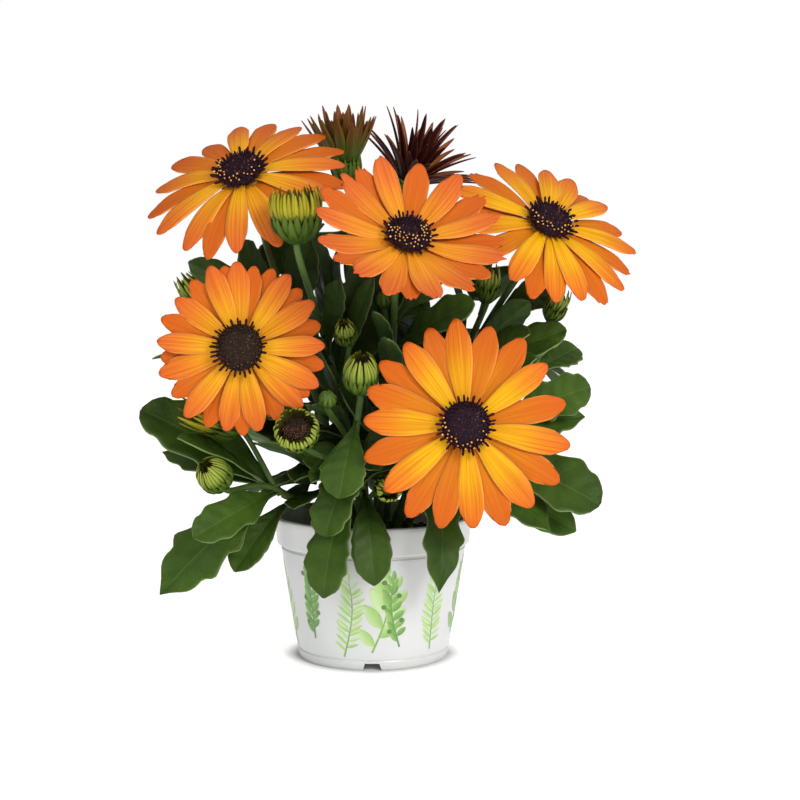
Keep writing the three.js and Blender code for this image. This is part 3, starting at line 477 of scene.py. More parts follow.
# %% Draw the sprigs flat
SPRIGS, PRINT_RADIUS, OFF_WALL = 15, 38, 0.07
sprigs = bmesh.new()
sprigs.verts.layers.float.new("tone")
for i in range(SPRIGS):
    start = (i + 0.2 * math.sin(5 * i)) * 2 * math.pi * PRINT_RADIUS / SPRIGS
    front = i % 2
    flat_sprig(sprigs, (start, 8.5 + 2.5 * math.sin(3 * i) + 2 * front, 0.05 * front),
               (27 if front else 33) + 3 * math.sin(2 * i), 7 * math.cos(2.3 * i), (i * 2) % 3,
               0.25 + 0.2 * math.sin(7 * i) if front else 0.78)
print("sprigs drawn flat:", len(sprigs.faces), "faces")

# %% Wrap them round the wall
for vert in sprigs.verts:
    angle = vert.co.x / PRINT_RADIUS - math.pi / 2
    out = wall_radius(vert.co.y) + OFF_WALL + vert.co.z
    vert.co = (out * math.cos(angle), out * math.sin(angle), vert.co.y)
bmesh.ops.recalc_face_normals(sprigs, faces=sprigs.faces)
for face in sprigs.faces:
    middle = face.calc_center_median()
    if face.normal.x * middle.x + face.normal.y * middle.y < 0:
        face.normal_flip()
print("the sprigs lie", OFF_WALL, "mm off the wall")

# %% Print them in greens
print_green, tree, surface = new_finish("print_green", Roughness=0.4)
tone = add_node(tree, "Attribute", attribute_name="tone").outputs["Fac"]
inks = add_ramp(tree, tone, [(0, (0.035, 0.14, 0.015)), (0.35, (0.1, 0.28, 0.03)), (0.7, (0.3, 0.5, 0.12)),
                             (1, (0.52, 0.68, 0.34))])
faded = maths(tree, "MULTIPLY", speckle(tree, 1.2), 0.25)
set_colour(tree, surface, mixed(tree, faded, inks, (0.5, 0.64, 0.3)))
finish_piece(sprigs, "printed_sprigs", [print_green], ["pot"])

# %% [markdown]
# ## Compost
#
# Peat compost is a heap of dark crumbs, and it shows only where the leaves part. The body is
# spun like the pot's, its top is divided finely, and noise of two sizes lifts and lowers it.
# Loose crumbs and chips lie on top, set out by the golden angle, which leaves no rows.

# %% Compost's finish
peat, tree, surface = new_finish("peat", Roughness=0.95, Specular_IOR_Level=0.15)
crumbs = speckle(tree, 1.6, 6)
set_colour(tree, surface, add_ramp(tree, crumbs, [(0.32, (0.008, 0.005, 0.003)),
                                                  (0.55, (0.035, 0.021, 0.012)),
                                                  (0.75, (0.11, 0.066, 0.035))]))
set_bump(tree, surface, crumbs, 0.5)
print("finish:", peat.name)

# %% Spin the compost and roughen its top
SOIL_TOP, FIT, CRUMBS, GOLDEN_ANGLE = 56, 0.35, 150, 2.399963
inside_foot = FOOT_RADIUS - WALL - FIT
soil_edge = inside_foot + (NECK - FOOT_RADIUS) * (BAND_FOOT - FLOOR - WALL) / (BAND_FOOT - FLOOR) - 0.3
soil_foot = inside_foot - 0.5
top_rings = [(soil_edge - 0.2 - 1.5 * k, SOIL_TOP - 1.8 + min(k, 12) * 0.15) for k in range(26)]
soil_section = [(0, FLOOR + WALL + FIT), (soil_foot, FLOOR + WALL + FIT), (soil_edge, BAND_FOOT),
                *[ring for ring in top_rings if ring[0] > 0.4], (0, SOIL_TOP)]
soil = bmesh.new()
turned_shape(soil, soil_section, 110)
for vert in soil.verts:
    if vert.co.z > SOIL_TOP - 2.2:
        rough = 0.7 * noise.noise(vert.co * 0.32) + 0.45 * noise.noise(vert.co * 0.95)
        vert.co.z += min(0.6, rough)
for k in range(CRUMBS):
    angle, reach = GOLDEN_ANGLE * k, 38 * math.sqrt((k + 0.5) / CRUMBS)
    spot = Vector((reach * math.cos(angle), reach * math.sin(angle), SOIL_TOP - 0.9))
    lump = Matrix.Translation(spot) @ Matrix.Rotation(k, 4, "X") @ Matrix.Diagonal(
        (0.7 + 0.8 * (k * 0.618 % 1), 0.5, 0.45 + 0.4 * (k * 0.37 % 1), 1))
    bmesh.ops.create_icosphere(soil, subdivisions=1, radius=1.1, matrix=lump)
finish_piece(soil, "compost", [peat], ["soil"])

# %% [markdown]
# ## Blades
#
# Petals, leaves and bracts are all blades: thin sheets that run along a bow from foot to tip.
# The plain solids draw each one with a handful of triangles. Here the same bow carries a fine
# grid, whose columns run across and whose rows run along, and a surface rule says where each
# vertex of the grid goes. The rule takes the plain blade's own width and bow, so the fine one
# lies where the plain one was, and it adds what the plain one leaves out: a round or notched
# tip, grooves, veins and a wavy edge.

# %% Half widths of the plain blades
# Pairs of a place along the blade and the part of its half width that it has there
OUTLINES = {
    "ray": [(0, 0.28), (0.44, 0.96), (0.82, 0.92), (1, 0.4)],
    "blunt": [(0, 0.28), (0.44, 0.94), (0.86, 0.9), (1, 0.52)],
    "under": [(0, 0.28), (0.55, 1), (1, 0.4)],
    "spike": [(0, 0.42), (0.5, 1), (1, 0)],
    "leaf": [(0, 0.14), (0.34, 0.56), (0.74, 1), (1, 0.2)],
    "toothed": [(0, 0.13), (0.22, 0.3), (0.44, 0.9), (0.5, 0.72), (0.67, 1), (0.73, 0.76), (0.85, 0.64),
                (1, 0)],
    "lobed": [(0, 0.14), (0.26, 0.44), (0.48, 1), (0.55, 0.84), (0.76, 1), (0.93, 0.72), (1, 0.2)],
    "young": [(0, 0.16), (0.6, 1), (1, 0)],
}
print("outlines:", ", ".join(OUTLINES))

# %% The bow that every blade follows
def spread(k):
    """A repeatable spread of values between 0 and 1."""
    return (k * 0.618034) % 1


def scatter(k):
    """A repeatable value between 0 and 1 with no pattern from one k to the next."""
    return math.sin(12.9898 * k + 4.1) * 43758.5453 % 1


def unit(rows):
    rows = np.asarray(rows, float)
    return rows / np.linalg.norm(rows, axis=-1, keepdims=True)


def bow_point(blade, along):
    back = (1 - along)[:, None]
    along = along[:, None]
    return back * back * blade["foot"] + 2 * back * along * blade["bow"] + along * along * blade["tip"]


def bow_normal(blade, along):
    along = along[:, None]
    way = (along - 1) * blade["foot"] + (1 - 2 * along) * blade["bow"] + along * blade["tip"]
    return unit(np.cross(way, blade["across"]))


def off_bow(blade, along, across, height):
    """Points so far across a blade's bow, and so high above it."""
    return (bow_point(blade, along) + across[:, None] * blade["across"]
            + height[:, None] * bow_normal(blade, along))


def plain_point(blade, side, along):
    """A point of the plain blade's middle surface, side from -1 to 1 across it."""
    places, widths = zip(*OUTLINES[blade["outline"]])
    reach = blade["half_width"] * np.interp(along, places, widths)
    return off_bow(blade, along, side * reach, np.abs(side) * reach * blade["fold"])


print("points of a blade are found from its bow")

# %% Fine sheets over blades
# Columns across and rows along the grids of each kind of blade
PETAL_GRID, ROLLED_GRID, BUD_GRID, LEAF_GRID, YOUNG_GRID, BRACT_GRID = (
    (10, 24), (6, 18), (6, 14), (10, 36), (8, 24), (4, 10))


def new_sheets():
    bm = bmesh.new()
    bm.loops.layers.uv.new("blade")
    bm.verts.layers.float.new("tone")
    bm.verts.layers.deform.verify()
    return bm


def add_sheet(bm, blade, grid_size, surface_rule, finish=0):
    columns, rows = grid_size
    grid = bmesh.ops.create_grid(bm, x_segments=columns, y_segments=rows, size=1, calc_uvs=True)["verts"]
    flat = np.array([vert.co for vert in grid], float)
    side, along = -flat[:, 0], (flat[:, 1] + 1) / 2
    points = surface_rule(blade, side, along)
    tone, foot = bm.verts.layers.float["tone"], bm.verts.layers.deform.active
    for vert, point, part in zip(grid, points, along):
        vert.co = point
        vert[tone] = blade["tone"]
        vert[foot][0] = max(0.0, 1 - part / 0.3)
    if finish:
        for face in {face for vert in grid for face in vert.link_faces}:
            face.material_index = finish
    bmesh.ops.remove_doubles(bm, verts=grid, dist=1e-3)


print("a petal will have", PETAL_GRID[0] * PETAL_GRID[1], "faces before it gets its thickness")

# %% Smooth lines
def smooth_through(knots, count=60):
    """A smooth line through a few (place, width) knots, as two rows for interpolation."""
    line = stem_points(np.array(knots, float), np.linspace(0, 1, count))
    return np.maximum.accumulate(line[:, 0]), line[:, 1]


def stem_points(knots, parts):
    """Points of a smooth line through knots, at parts of the way along it from 0 to 1."""
    padded = np.vstack([2 * knots[0] - knots[1], knots, 2 * knots[-1] - knots[-2]])
    place = np.asarray(parts) * (len(knots) - 1)
    piece = np.minimum(place.astype(int), len(knots) - 2)
    w = (place - piece)[:, None]
    p0, p1, p2, p3 = (padded[piece + i] for i in range(4))
    in_way, out_way = 0.5 * (p2 - p0), 0.5 * (p3 - p1)
    return (p1 + in_way * w + (3 * (p2 - p1) - 2 * in_way - out_way) * w ** 2
            + (2 * (p1 - p2) + in_way + out_way) * w ** 3)


print("a line through 3 knots, smoothed:", stem_points(np.eye(3), [0, 0.5, 1]).round(2).tolist())

# %% [markdown]
# ## Open blooms
#
# A daisy is a head of many flowers. The petals are ray florets in two close layers, and the eye
# is a dome of disc florets. Each head has a frame of its own: its axis leans towards a side,
# and the rays stand at clock angles round it. The petals are sheets with a round tip, which on
# some heads is ragged, and shallow folds run along them. Above they shade from gold at the foot
# to orange at the tip, and the lower layer is painted darker and redder than the upper, as
# painted shade under it; below they are bronze with purple stripes.

# %% Where the blooms are
LAYER_STEP, DISC_PART, FLORETS, HUB_TOP, HUB_FOOT = 0.85, 0.235, 170, 0.8, -3.4
CUP_TOP, CUP_DEPTH = HUB_FOOT - FIT, 6.5

# A head leans so many degrees from upright, towards the side that its turn says, and its top
# rays stand at these clock angles
BLOOMS = [
    {"centre": (-56.4, -20, 216.4), "lean": 43, "turn": -18, "radius": 45.8, "lift": -8, "crown": 3.5,
     "max_gap": 25, "half_width": 5.1, "top": [17, 73, 112, 181, 223, 248, 282, 305, 347],
     "ragged": 0.3, "pollen": 0.8},
    {"centre": (15.4, -66, 187.8), "lean": 47, "turn": 15, "radius": 41, "lift": 12, "crown": 1,
     "max_gap": 26, "half_width": 5.1, "top": [9, 48, 99, 129, 168, 193, 224, 246, 273, 298, 333],
     "ragged": 1.0, "pollen": 0.9, "open": 0.62, "face": "orange"},
    {"centre": (77, -18, 195), "lean": 46, "turn": 28, "radius": 44.5, "lift": -4, "crown": 3,
     "max_gap": 25, "half_width": 5.1, "top": [22, 48, 64, 98, 147, 178, 225, 253, 269, 304, 342],
     "ragged": 0.6, "pollen": 0.8, "face": "gold"},
    {"centre": (-54.5, -52, 142.5), "lean": 82, "turn": -7, "radius": 36.3, "lift": 2, "crown": 1,
     "max_gap": 17, "half_width": 4.5, "disc": 10.2,
     "top": [2, 32, 57, 94, 112, 144, 176, 198, 232, 261, 284, 317, 335], "ragged": 0.1, "pollen": 0.2},
    {"centre": (39.2, -66, 111.2), "lean": 78.5, "turn": 0, "radius": 43.8, "lift": 2, "crown": 1,
     "max_gap": 25, "half_width": 5.3, "top": [37, 95, 126, 177, 219, 274, 309, 349],
     "ragged": 0.2, "pollen": 0.75, "face": "gold"},
]
print("blooms:", len(BLOOMS))

# %% The axes of a head and its blades
def head_axes(head):
    """Where a head is and its axis, right and top."""
    tilt, way = math.radians(head["lean"]), math.radians(head["turn"])
    aside = math.sin(tilt)
    axis = np.array([math.sin(way) * aside, -math.cos(way) * aside, math.cos(tilt)])
    right = np.array([math.cos(way), math.sin(way), 0.0])
    return np.array(head["centre"], float), axis, right, np.cross(axis, right)


def head_matrix(head):
    origin, axis, right, top = head_axes(head)
    return Matrix([[*row, place] for row, place in zip(np.column_stack([right, top, axis]), origin)]
                  + [[0, 0, 0, 1]])


def head_blade(head, angle, foot, bow, tip, half_width, outline, fold=0.0, tone=0.5):
    """A blade of a head, from (radius, height) points in the plane of its clock angle."""
    origin, axis, right, top = head_axes(head)
    turn = math.radians(angle)
    way = right * math.cos(turn) + top * math.sin(turn)
    points = [origin + way * radius + axis * height for radius, height in (foot, bow, tip)]
    return {"foot": points[0], "bow": points[1], "tip": points[2], "across": unit(np.cross(axis, way)),
            "half_width": half_width, "outline": outline, "fold": fold, "tone": tone}


print("axis of the first bloom:", head_axes(BLOOMS[0])[1].round(2).tolist())

# %% The rays of each bloom
def bloom_rays(bloom):
    """The rays of the two upper layers, and those of the lower layers that fill their gaps."""
    lift = math.radians(bloom["lift"])
    rays = []

    def add_ray(angle, layer):
        k = len(rays)
        reach = bloom["radius"] * (0.96 + 0.07 * spread(k + bloom["radius"]))
        height = -LAYER_STEP * layer
        # A ray of a lower layer gets a high tone, so that its finish paints it darker and redder, as painted
        # shade under the upper rays.
        ray = head_blade(
            bloom, angle, (3.5 * bloom["radius"] / 40, height), (0.5 * reach, height + bloom["crown"]),
            (reach * math.cos(lift), height + reach * math.sin(lift)),
            bloom["half_width"] * (0.93 + 0.14 * spread(k * 3)),
            "under" if layer > 1 else "blunt" if k % 3 == 1 else "ray", -0.06 if layer < 2 else 0.0,
            (0.12 * layer if layer < 2 else 0.62) + 0.16 * spread(7 * k))
        ray["notch"] = 0.07 * max(0.0, bloom["ragged"] - 0.2 - scatter(k))
        rays.append(ray)

    for i, angle in enumerate(bloom["top"]):
        add_ray(angle, i % 2)
        gap = (bloom["top"][(i + 1) % len(bloom["top"])] - angle + 360) % 360
        between = math.ceil(gap / bloom["max_gap"]) - 1
        for j in range(1, between + 1):
            add_ray(angle + gap * j / (between + 1), 2 + (i + j) % 2)
    return rays


bloom_blades = [bloom_rays(bloom) for bloom in BLOOMS]
print("petals on each bloom:", [len(rays) for rays in bloom_blades])

# %% A petal's surface
PETAL_WIDTH = smooth_through([(0, 0.28), (0.2, 0.52), (0.4, 0.82), (0.58, 1.0), (0.74, 1.04),
                              (0.86, 1.0), (0.94, 0.92), (1, 0.8)])


def petal_surface(blade, side, along):
    """A round tip, four lengthwise folds and a slow wave of the edges."""
    tone, notch = blade["tone"], blade["notch"]
    drop = 0.24 * (1 - np.sqrt(1 - 0.86 * side ** 2))
    teeth = np.sin((1.2 + tone) * math.pi * side + 9 * tone) ** 2
    drop = drop + (0.004 + notch) * teeth * (1 + np.sin(3 * side + 20 * tone))
    narrow = 1 - 5 * notch * np.clip(along - 0.6, 0, 1)
    reach = blade["half_width"] * np.interp(along, *PETAL_WIDTH) * narrow
    along_bow = along - drop * along ** 6
    swell = np.sin(math.pi * np.clip(along, 0, 1)) ** 0.5
    folds = 0.1 * np.cos(3 * math.pi * side + tone) + 0.06 * np.cos(5.2 * math.pi * side + 9 * tone)
    wave = 0.25 * np.sin(2 * math.pi * (1.3 * along + 3 * tone)) * side ** 2
    twist = 0.2 * (scatter(700 * tone) - 0.5) * side * reach * along
    droop = 1.3 * (scatter(500 * tone) - 0.6) * along ** 4
    height = blade["fold"] * reach * side ** 2 + folds * swell + wave + twist + droop
    return off_bow(blade, along_bow, side * reach, height)


print("the corners of a petal's tip lie", round(0.24 * (1 - math.sqrt(0.14)), 3), "of its length back")

# %% Finishes of the petals' upper side
STREAKS, PETAL_EDGE = 0.42, (0.95, 0.46, 0.14)


def petal_finish(name, colours):
    """Colours along the petal that waver with broad streaks, under fine ones, and a pale edge."""
    finish, tree, surface = new_finish(name, Roughness=0.5, Specular_IOR_Level=0.14)
    across, along, tone, _ = blade_places(tree)
    lines = streaks(tree, 17, along, tone)
    broad = streaks(tree, 5, along, maths(tree, "ADD", tone, 0.3))
    wavering = maths(tree, "MULTIPLY_ADD", maths(tree, "SUBTRACT", broad, 0.5), 0.22, along)
    shade = add_ramp(tree, wavering, colours)
    fine = add_ramp(tree, lines, [(0.32, (1 - 0.6 * STREAKS, 1 - STREAKS, 1 - STREAKS)), (0.6, (1, 1, 1))])
    lined = mixed(tree, 1.0, shade, fine, "MULTIPLY")
    # Painted shade: rays of the lower layers, under the upper ones, are mixed towards a dark red; on the
    # upper rays the same mix is slight and varies at random.
    tone_and_painted_lower_shade = mixed(tree, maths(tree, "MULTIPLY", tone, 1.05), lined, (0.56, 0.1, 0.004))
    rim = maths(tree, "MULTIPLY", maths(tree, "POWER", across, 16), 0.6)
    set_colour(tree, surface, mixed(tree, rim, tone_and_painted_lower_shade, PETAL_EDGE))
    set_bump(tree, surface, lines, 0.2)
    return finish


def petal_colours(gold, gold_end, blue):
    """Purple at the very foot, then gold, then orange that deepens to the tip."""
    return [(0.0, (0.16, 0.03, 0.01)), (0.12, (0.34, 0.08, 0.008)), (0.19, (0.94, 1.12 * gold, blue)),
            (gold_end, (0.87, gold, blue)), (gold_end + 0.2, (0.83, 0.285, blue + 0.006)),
            (gold_end + 0.38, (0.78, 0.2, blue + 0.01)), (1.0, (0.7, 0.135, blue + 0.012))]


petal_faces = {}
for name, gold, gold_end, blue in (("amber", 0.41, 0.42, 0.012), ("orange", 0.34, 0.34, 0.018),
                                   ("gold", 0.45, 0.52, 0.004)):
    petal_faces[name] = petal_finish(f"petal_{name}", petal_colours(gold, gold_end, blue))
print("finishes:", ", ".join(petal_faces))

# %% Finishes of the petals' underside and of their base
petal_back, tree, surface = new_finish("petal_back", Roughness=0.55, Specular_IOR_Level=0.15)
across, along, tone, _ = blade_places(tree)
lines = streaks(tree, 14, along, tone)
stripe = maths(tree, "ADD", maths(tree, "MULTIPLY", across, 0.85), maths(tree, "MULTIPLY", lines, 0.35))
set_colour(tree, surface, add_ramp(tree, stripe, [(0.3, (0.16, 0.045, 0.05)), (0.6, (0.42, 0.14, 0.035)),
                                                  (0.95, (0.78, 0.28, 0.04))]))
set_bump(tree, surface, lines, 0.15)
hub_green, tree, surface = new_finish("hub_green", Roughness=0.6)
set_colour(tree, surface, add_ramp(tree, speckle(tree, 1.5), [(0.3, (0.12, 0.16, 0.02)),
                                                              (0.7, (0.3, 0.32, 0.05))]))
set_bump(tree, surface, speckle(tree, 0.8), 0.1)
hub_brown, tree, surface = new_finish("hub_brown", Roughness=0.7, Specular_IOR_Level=0.1)
set_colour(tree, surface, add_ramp(tree, speckle(tree, 0.7), [(0.35, (0.05, 0.012, 0.01)),
                                                              (0.7, (0.2, 0.05, 0.01))]))
print("finishes:", petal_back.name, hub_green.name, hub_brown.name)

# %% The petals and the base that holds them
for i, (bloom, rays) in enumerate(zip(BLOOMS, bloom_blades), 1):
    petals = new_sheets()
    for ray in rays:
        add_sheet(petals, ray, PETAL_GRID, petal_surface)
    face = petal_faces[bloom.get("face", "amber")]
    piece = finish_piece(petals, f"bloom_{i}_petals", [face, petal_back], [f"bloom_{i}_rays"])
    thicken(piece, 0.5)
    radius = 8 * bloom["radius"] / 40
    hub = bmesh.new()
    section = [(0, HUB_FOOT), (radius - 1.5, HUB_FOOT), (radius - 0.4, -2.9), (radius, -2.2), (radius, 0.2),
               (radius - 0.3, 0.6), (radius - 0.8, HUB_TOP), (0, HUB_TOP)]
    for face in turned_shape(hub, section, 36):
        face.material_index = 1 if face.calc_center_median().z > -0.8 else 0
    bmesh.ops.transform(hub, matrix=head_matrix(bloom), verts=hub.verts)
    finish_piece(hub, f"bloom_{i}_base", [hub_green, hub_brown], [f"bloom_{i}_rays"])

# %% [markdown]
# ## Eyes of the blooms
#
# The eye is a dome of some hundred and seventy disc florets in the spirals that sunflowers show.
# The middle ones are still closed columns. The open ones stand in a ring round them: five small
# lobes round a column that is tipped with cream or orange pollen. The outermost lean out over
# the petals' feet as stout pegs. A shape that comes back so often has to be light, so each floret
# is a few cones and a knob of a few dozen faces. The golden angle sets them out.

# %% One floret
def add_cone(bm, place, sides, low, high, foot, tall, value):
    """A cone whose foot stands at a height over a place."""
    pollen = bm.verts.layers.float["pollen"]
    verts = bmesh.ops.create_cone(bm, cap_ends=True, segments=sides, radius1=low, radius2=high, depth=tall,
                                  matrix=place @ Matrix.Translation((0, 0, foot + tall / 2)))["verts"]
    for vert in verts:
        vert[pollen] = value
    return verts


def add_floret(bm, place, size, stage, pollen_tone, tint=0.0):
    """One floret: 0 is a closed column, 1 an open one with pollen, 2 a stout outer peg."""
    add_cone(bm, place, 6, 0.42 * size, (0.34, 0.3, 0.5)[stage] * size, 0, (1.9, 2.2, 2.3)[stage] * size,
             (tint, 0.0, 0.08)[stage])
    if stage == 2:
        add_cone(bm, place, 6, 0.5 * size, 0.16 * size, 2.3 * size, 0.7 * size, 0.1)
        return
    if stage == 0:
        return
    star = add_cone(bm, place, 10, 0.3 * size, 0.74 * size, 0.5 * size, 0.9 * size, 0.1)
    inverse = place.inverted()
    for vert in star:
        local = inverse @ vert.co
        clock = math.atan2(local.y, local.x) * 5 / (2 * math.pi)
        if local.z > size and abs(clock - round(clock)) > 0.25:
            vert.co = place @ Vector((local.x * 0.4, local.y * 0.4, local.z - 0.4 * size))
    if pollen_tone > 0:
        knob = bmesh.ops.create_icosphere(bm, subdivisions=1, radius=0.5 * size,
                                          matrix=place @ Matrix.Translation((0, 0, 2.35 * size)))["verts"]
        for vert in knob:
            vert[bm.verts.layers.float["pollen"]] = pollen_tone


print("a floret can be closed, open or a stout peg")

# %% An eye full of florets
def eye_profile(radius, foot):
    return [(0, foot), (0.62 * radius, foot), (0.9 * radius, foot + 0.08 * radius),
            (0.97 * radius, foot + 0.16 * radius), (0.9 * radius, foot + 0.3 * radius),
            (0.6 * radius, foot + 0.4 * radius), (0.28 * radius, foot + 0.42 * radius),
            (0, foot + 0.38 * radius)]


def add_eye(bm, head, radius, foot, count, open_part, brightest=0.0):
    """A dome with florets in spirals, of which an outer part of the dome's reach is open."""
    base = head_matrix(head)
    turned_shape(bm, eye_profile(radius, foot), 32, base)
    dome = eye_profile(radius, foot)[:2:-1]
    for k in range(count):
        part = math.sqrt((k + 0.5) / count)
        reach = 0.96 * radius * part
        height = np.interp(reach, *zip(*dome))
        lean = math.radians(6 + 66 * part ** 4 + 14 * (scatter(k) - 0.5))
        place = (base @ Matrix.Rotation(GOLDEN_ANGLE * k, 4, "Z")
                 @ Matrix.Translation((reach, 0, height - 0.3))
                 @ Matrix.Rotation(lean, 4, "Y") @ Matrix.Rotation(k, 4, "Z"))
        stage = 2 if part > 0.9 and open_part else 1 if part > 1 - open_part else 0
        in_front = math.sin(GOLDEN_ANGLE * k) < 0.1 + 0.3 * scatter(2 * k)
        shown = stage == 1 and in_front and scatter(3 * k) < 0.72
        size = radius * (0.064, 0.082, 0.1)[stage] * (0.8 + 0.4 * scatter(5 * k))
        add_floret(bm, place, size, stage, brightest * (0.5 + 0.5 * scatter(7 * k)) if shown else 0.0,
                   0.2 * scatter(9 * k) ** 2)


print("florets on the eye of an open bloom:", FLORETS)

# %% Finishes of the eyes
def disc_finish(name, closed, lobes):
    finish, tree, surface = new_finish(name, Roughness=0.6, Specular_IOR_Level=0.07)
    value = add_node(tree, "Attribute", attribute_name="pollen").outputs["Fac"]
    tones = add_ramp(tree, value, [(0.0, closed), (0.1, lobes), (0.2, (0.2, 0.085, 0.04)),
                                   (0.5, (0.72, 0.27, 0.05)), (0.72, (0.88, 0.5, 0.14)),
                                   (1.0, (0.92, 0.7, 0.34))])
    dust = maths(tree, "MULTIPLY", maths(tree, "GREATER_THAN", speckle(tree, 0.55, 2), 0.6), 0.45)
    set_colour(tree, surface, mixed(tree, dust, tones, tuple(4.6 * part for part in closed)))
    set_bump(tree, surface, speckle(tree, 0.5), 0.1)
    return finish


disc_dark = disc_finish("disc_dark", (0.02, 0.009, 0.016), (0.038, 0.006, 0.008))
disc_brown = disc_finish("disc_brown", (0.028, 0.017, 0.012), (0.034, 0.007, 0.007))
print("finishes:", disc_dark.name, disc_brown.name)

# %% The eyes
for i, bloom in enumerate(BLOOMS, 1):
    eye = bmesh.new()
    eye.verts.layers.float.new("pollen")
    add_eye(eye, bloom, bloom.get("disc", DISC_PART * bloom["radius"]), HUB_TOP + FIT, FLORETS,
            bloom.get("open", 0.34), bloom["pollen"])
    finish_piece(eye, f"bloom_{i}_eye", [disc_brown if bloom["pollen"] < 0.5 else disc_dark],
                 [f"bloom_{i}_disc"])

# %% [markdown]
# ## Half-open heads
#
# Behind the open blooms stand two heads whose rays are still rolled lengthwise, so each looks
# like a narrow spike, and what shows is the dark outside. A rolled ray is a sheet whose edges
# turn up towards the inside, and the inside keeps the colour of an open petal.

# %% Where the half-open heads are
HALF_OPEN = [
    {"centre": (-12.6, 16, 223.4), "lean": 9, "turn": -25, "half_width": 1.5, "curl": 0.1,
     "layers": [(14, 33, 25), (10, 17, 26)]},
    {"centre": (15.4, 32, 215.9), "lean": 28, "turn": 72, "half_width": 1.7, "curl": -0.06,
     "layers": [(13, 63, 31), (11, 40, 33), (7, 15, 34)]},
]
print("half-open heads:", len(HALF_OPEN))

# %% Where their rays are
def half_open_rays(head, between=False):
    """The rays of the plain solid, or shorter ones that stand between them.

    A layer is its number of rays, how far they open in degrees, and their length.
    """
    foot_radius, foot_height = 3.4, 0.6
    rays = []
    for layer, (count, opening, length) in enumerate(head["layers"]):
        for i in range(count):
            k = i + 7 * layer
            angle = math.radians(opening + 9 * (spread(k * 2) - 0.5) - 6 * between)
            reach = length * (0.93 + 0.14 * spread(k * 5)) * (0.86 if between else 1)
            radius = foot_radius - 0.8 * layer
            tip = (radius + reach * math.sin(angle), foot_height + reach * math.cos(angle))
            bow = ((radius + tip[0]) / 2 + head["curl"] * length * math.cos(angle),
                   (foot_height + tip[1]) / 2 - head["curl"] * length * math.sin(angle))
            clock = 360 / count * (i + 0.5 * layer + 0.25 * spread(k) + 0.5 * between)
            rays.append(head_blade(head, clock, (radius, foot_height), bow, tip, head["half_width"], "spike",
                                   0.5, spread(k * 3 + between)))
    return rays


half_open_blades = [half_open_rays(head) for head in HALF_OPEN]
print("rolled rays:", [len(rays) for rays in half_open_blades])

# %% The surface of a rolled ray
SPIKE_WIDTH = smooth_through([(0, 0.5), (0.25, 0.96), (0.5, 1.06), (0.75, 0.76), (0.93, 0.34), (1, 0.0)])
ROLL = 62


def rolled_surface(blade, side, along):
    """Half of a narrow tube: the edges of the sheet rise towards the inside."""
    reach = blade["half_width"] * blade.get("wide", 1) * np.interp(along, *SPIKE_WIDTH)
    bend = side * math.radians(ROLL)
    across = np.sin(bend) * reach * 1.05
    height = (1 - np.cos(bend)) * reach * 0.8 + blade["fold"] * 0.1 * reach
    return off_bow(blade, along, across, height)


print("a rolled ray turns", 2 * ROLL, "degrees from edge to edge")

# %% Striped finishes of rays and bracts
def outside_finish(name, middle, margin, foot, tip, foot_end=0.3, shine=0.12):
    """Stripes from a blade's middle to its margins, between the colours of its foot and tip."""
    finish, tree, surface = new_finish(name, Roughness=0.5, Specular_IOR_Level=shine)
    across, along, tone, _ = blade_places(tree)
    lines = streaks(tree, 9, along, tone)
    width = maths(tree, "ADD", across, maths(tree, "MULTIPLY", maths(tree, "SUBTRACT", lines, 0.5), 0.8))
    body = add_ramp(tree, width, [(0.25, middle), (0.8, margin)])
    near_foot = add_ramp(tree, along, [(0.1, (1, 1, 1)), (foot_end + 0.15, (0, 0, 0))])
    ends = mixed(tree, near_foot, body, foot)
    ends = mixed(tree, maths(tree, "MULTIPLY", maths(tree, "POWER", along, 3), 0.7), ends, tip)
    shade = add_ramp(tree, tone, [(0, (0.72, 0.72, 0.72)), (1, (1, 1, 1))])
    set_colour(tree, surface, mixed(tree, 1.0, ends, shade, "MULTIPLY"))
    set_bump(tree, surface, lines, 0.12)
    return finish


olive_outside = outside_finish("olive_outside", (0.12, 0.045, 0.008), (0.17, 0.12, 0.012),
                               (0.06, 0.12, 0.01), (0.14, 0.045, 0.012), 0.6)
maroon_outside = outside_finish("maroon_outside", (0.03, 0.006, 0.006), (0.09, 0.018, 0.012),
                                (0.03, 0.02, 0.008), (0.05, 0.012, 0.01), 0.1, 0.03)
rolled_inside = outside_finish("rolled_inside", (0.5, 0.15, 0.03), (0.26, 0.08, 0.04),
                               (0.92, 0.36, 0.008), (0.16, 0.05, 0.035), 0.42)
print("finishes:", olive_outside.name, maroon_outside.name, rolled_inside.name)

# %% The half-open heads
for i, (head, rays, outside, slot, wide) in enumerate(zip(
        HALF_OPEN, half_open_blades, (olive_outside, maroon_outside), ("olive_rays", "maroon_rays"),
        (1.5, 1.15)), 1):
    sheets = new_sheets()
    middle = head_axes(head)[0]
    for ray in rays + half_open_rays(head, between=True):
        foot = middle + 1.4 * (ray["foot"] - middle)
        add_sheet(sheets, dict(ray, foot=foot, wide=wide), ROLLED_GRID, rolled_surface)
    piece = finish_piece(sheets, f"half_open_{i}_petals", [rolled_inside, outside],
                         [f"half_open_{i}_rays"])
    thicken(piece, 0.4)
    hub = bmesh.new()
    hub.verts.layers.float.new("pollen")
    section = [(0, -1), (4.6, -1), (5.1, -0.3), (5.2, 0.4), (3.6, 1.6), (0, 1.6)]
    for face in turned_shape(hub, section, 28, head_matrix(head)):
        face.material_index = 1
    add_eye(hub, head, 2.4, 1.4, 24, 0.0)
    finish_piece(hub, f"half_open_{i}_base", [disc_dark, hub_green], [f"half_open_{i}_rays"])

# %% [markdown]
# ## Buds
#
# Buds stand at every stage between the blooms. A young one is a ball of yellow-green rays that
# curve over the middle, held by a green cup, and an older one lets its dark eye show between
# them. The rays are sheets on a strong bow, rolled a little, and the youngest have more of them
# and stand closer, because there the plain solid is one pointed crown.

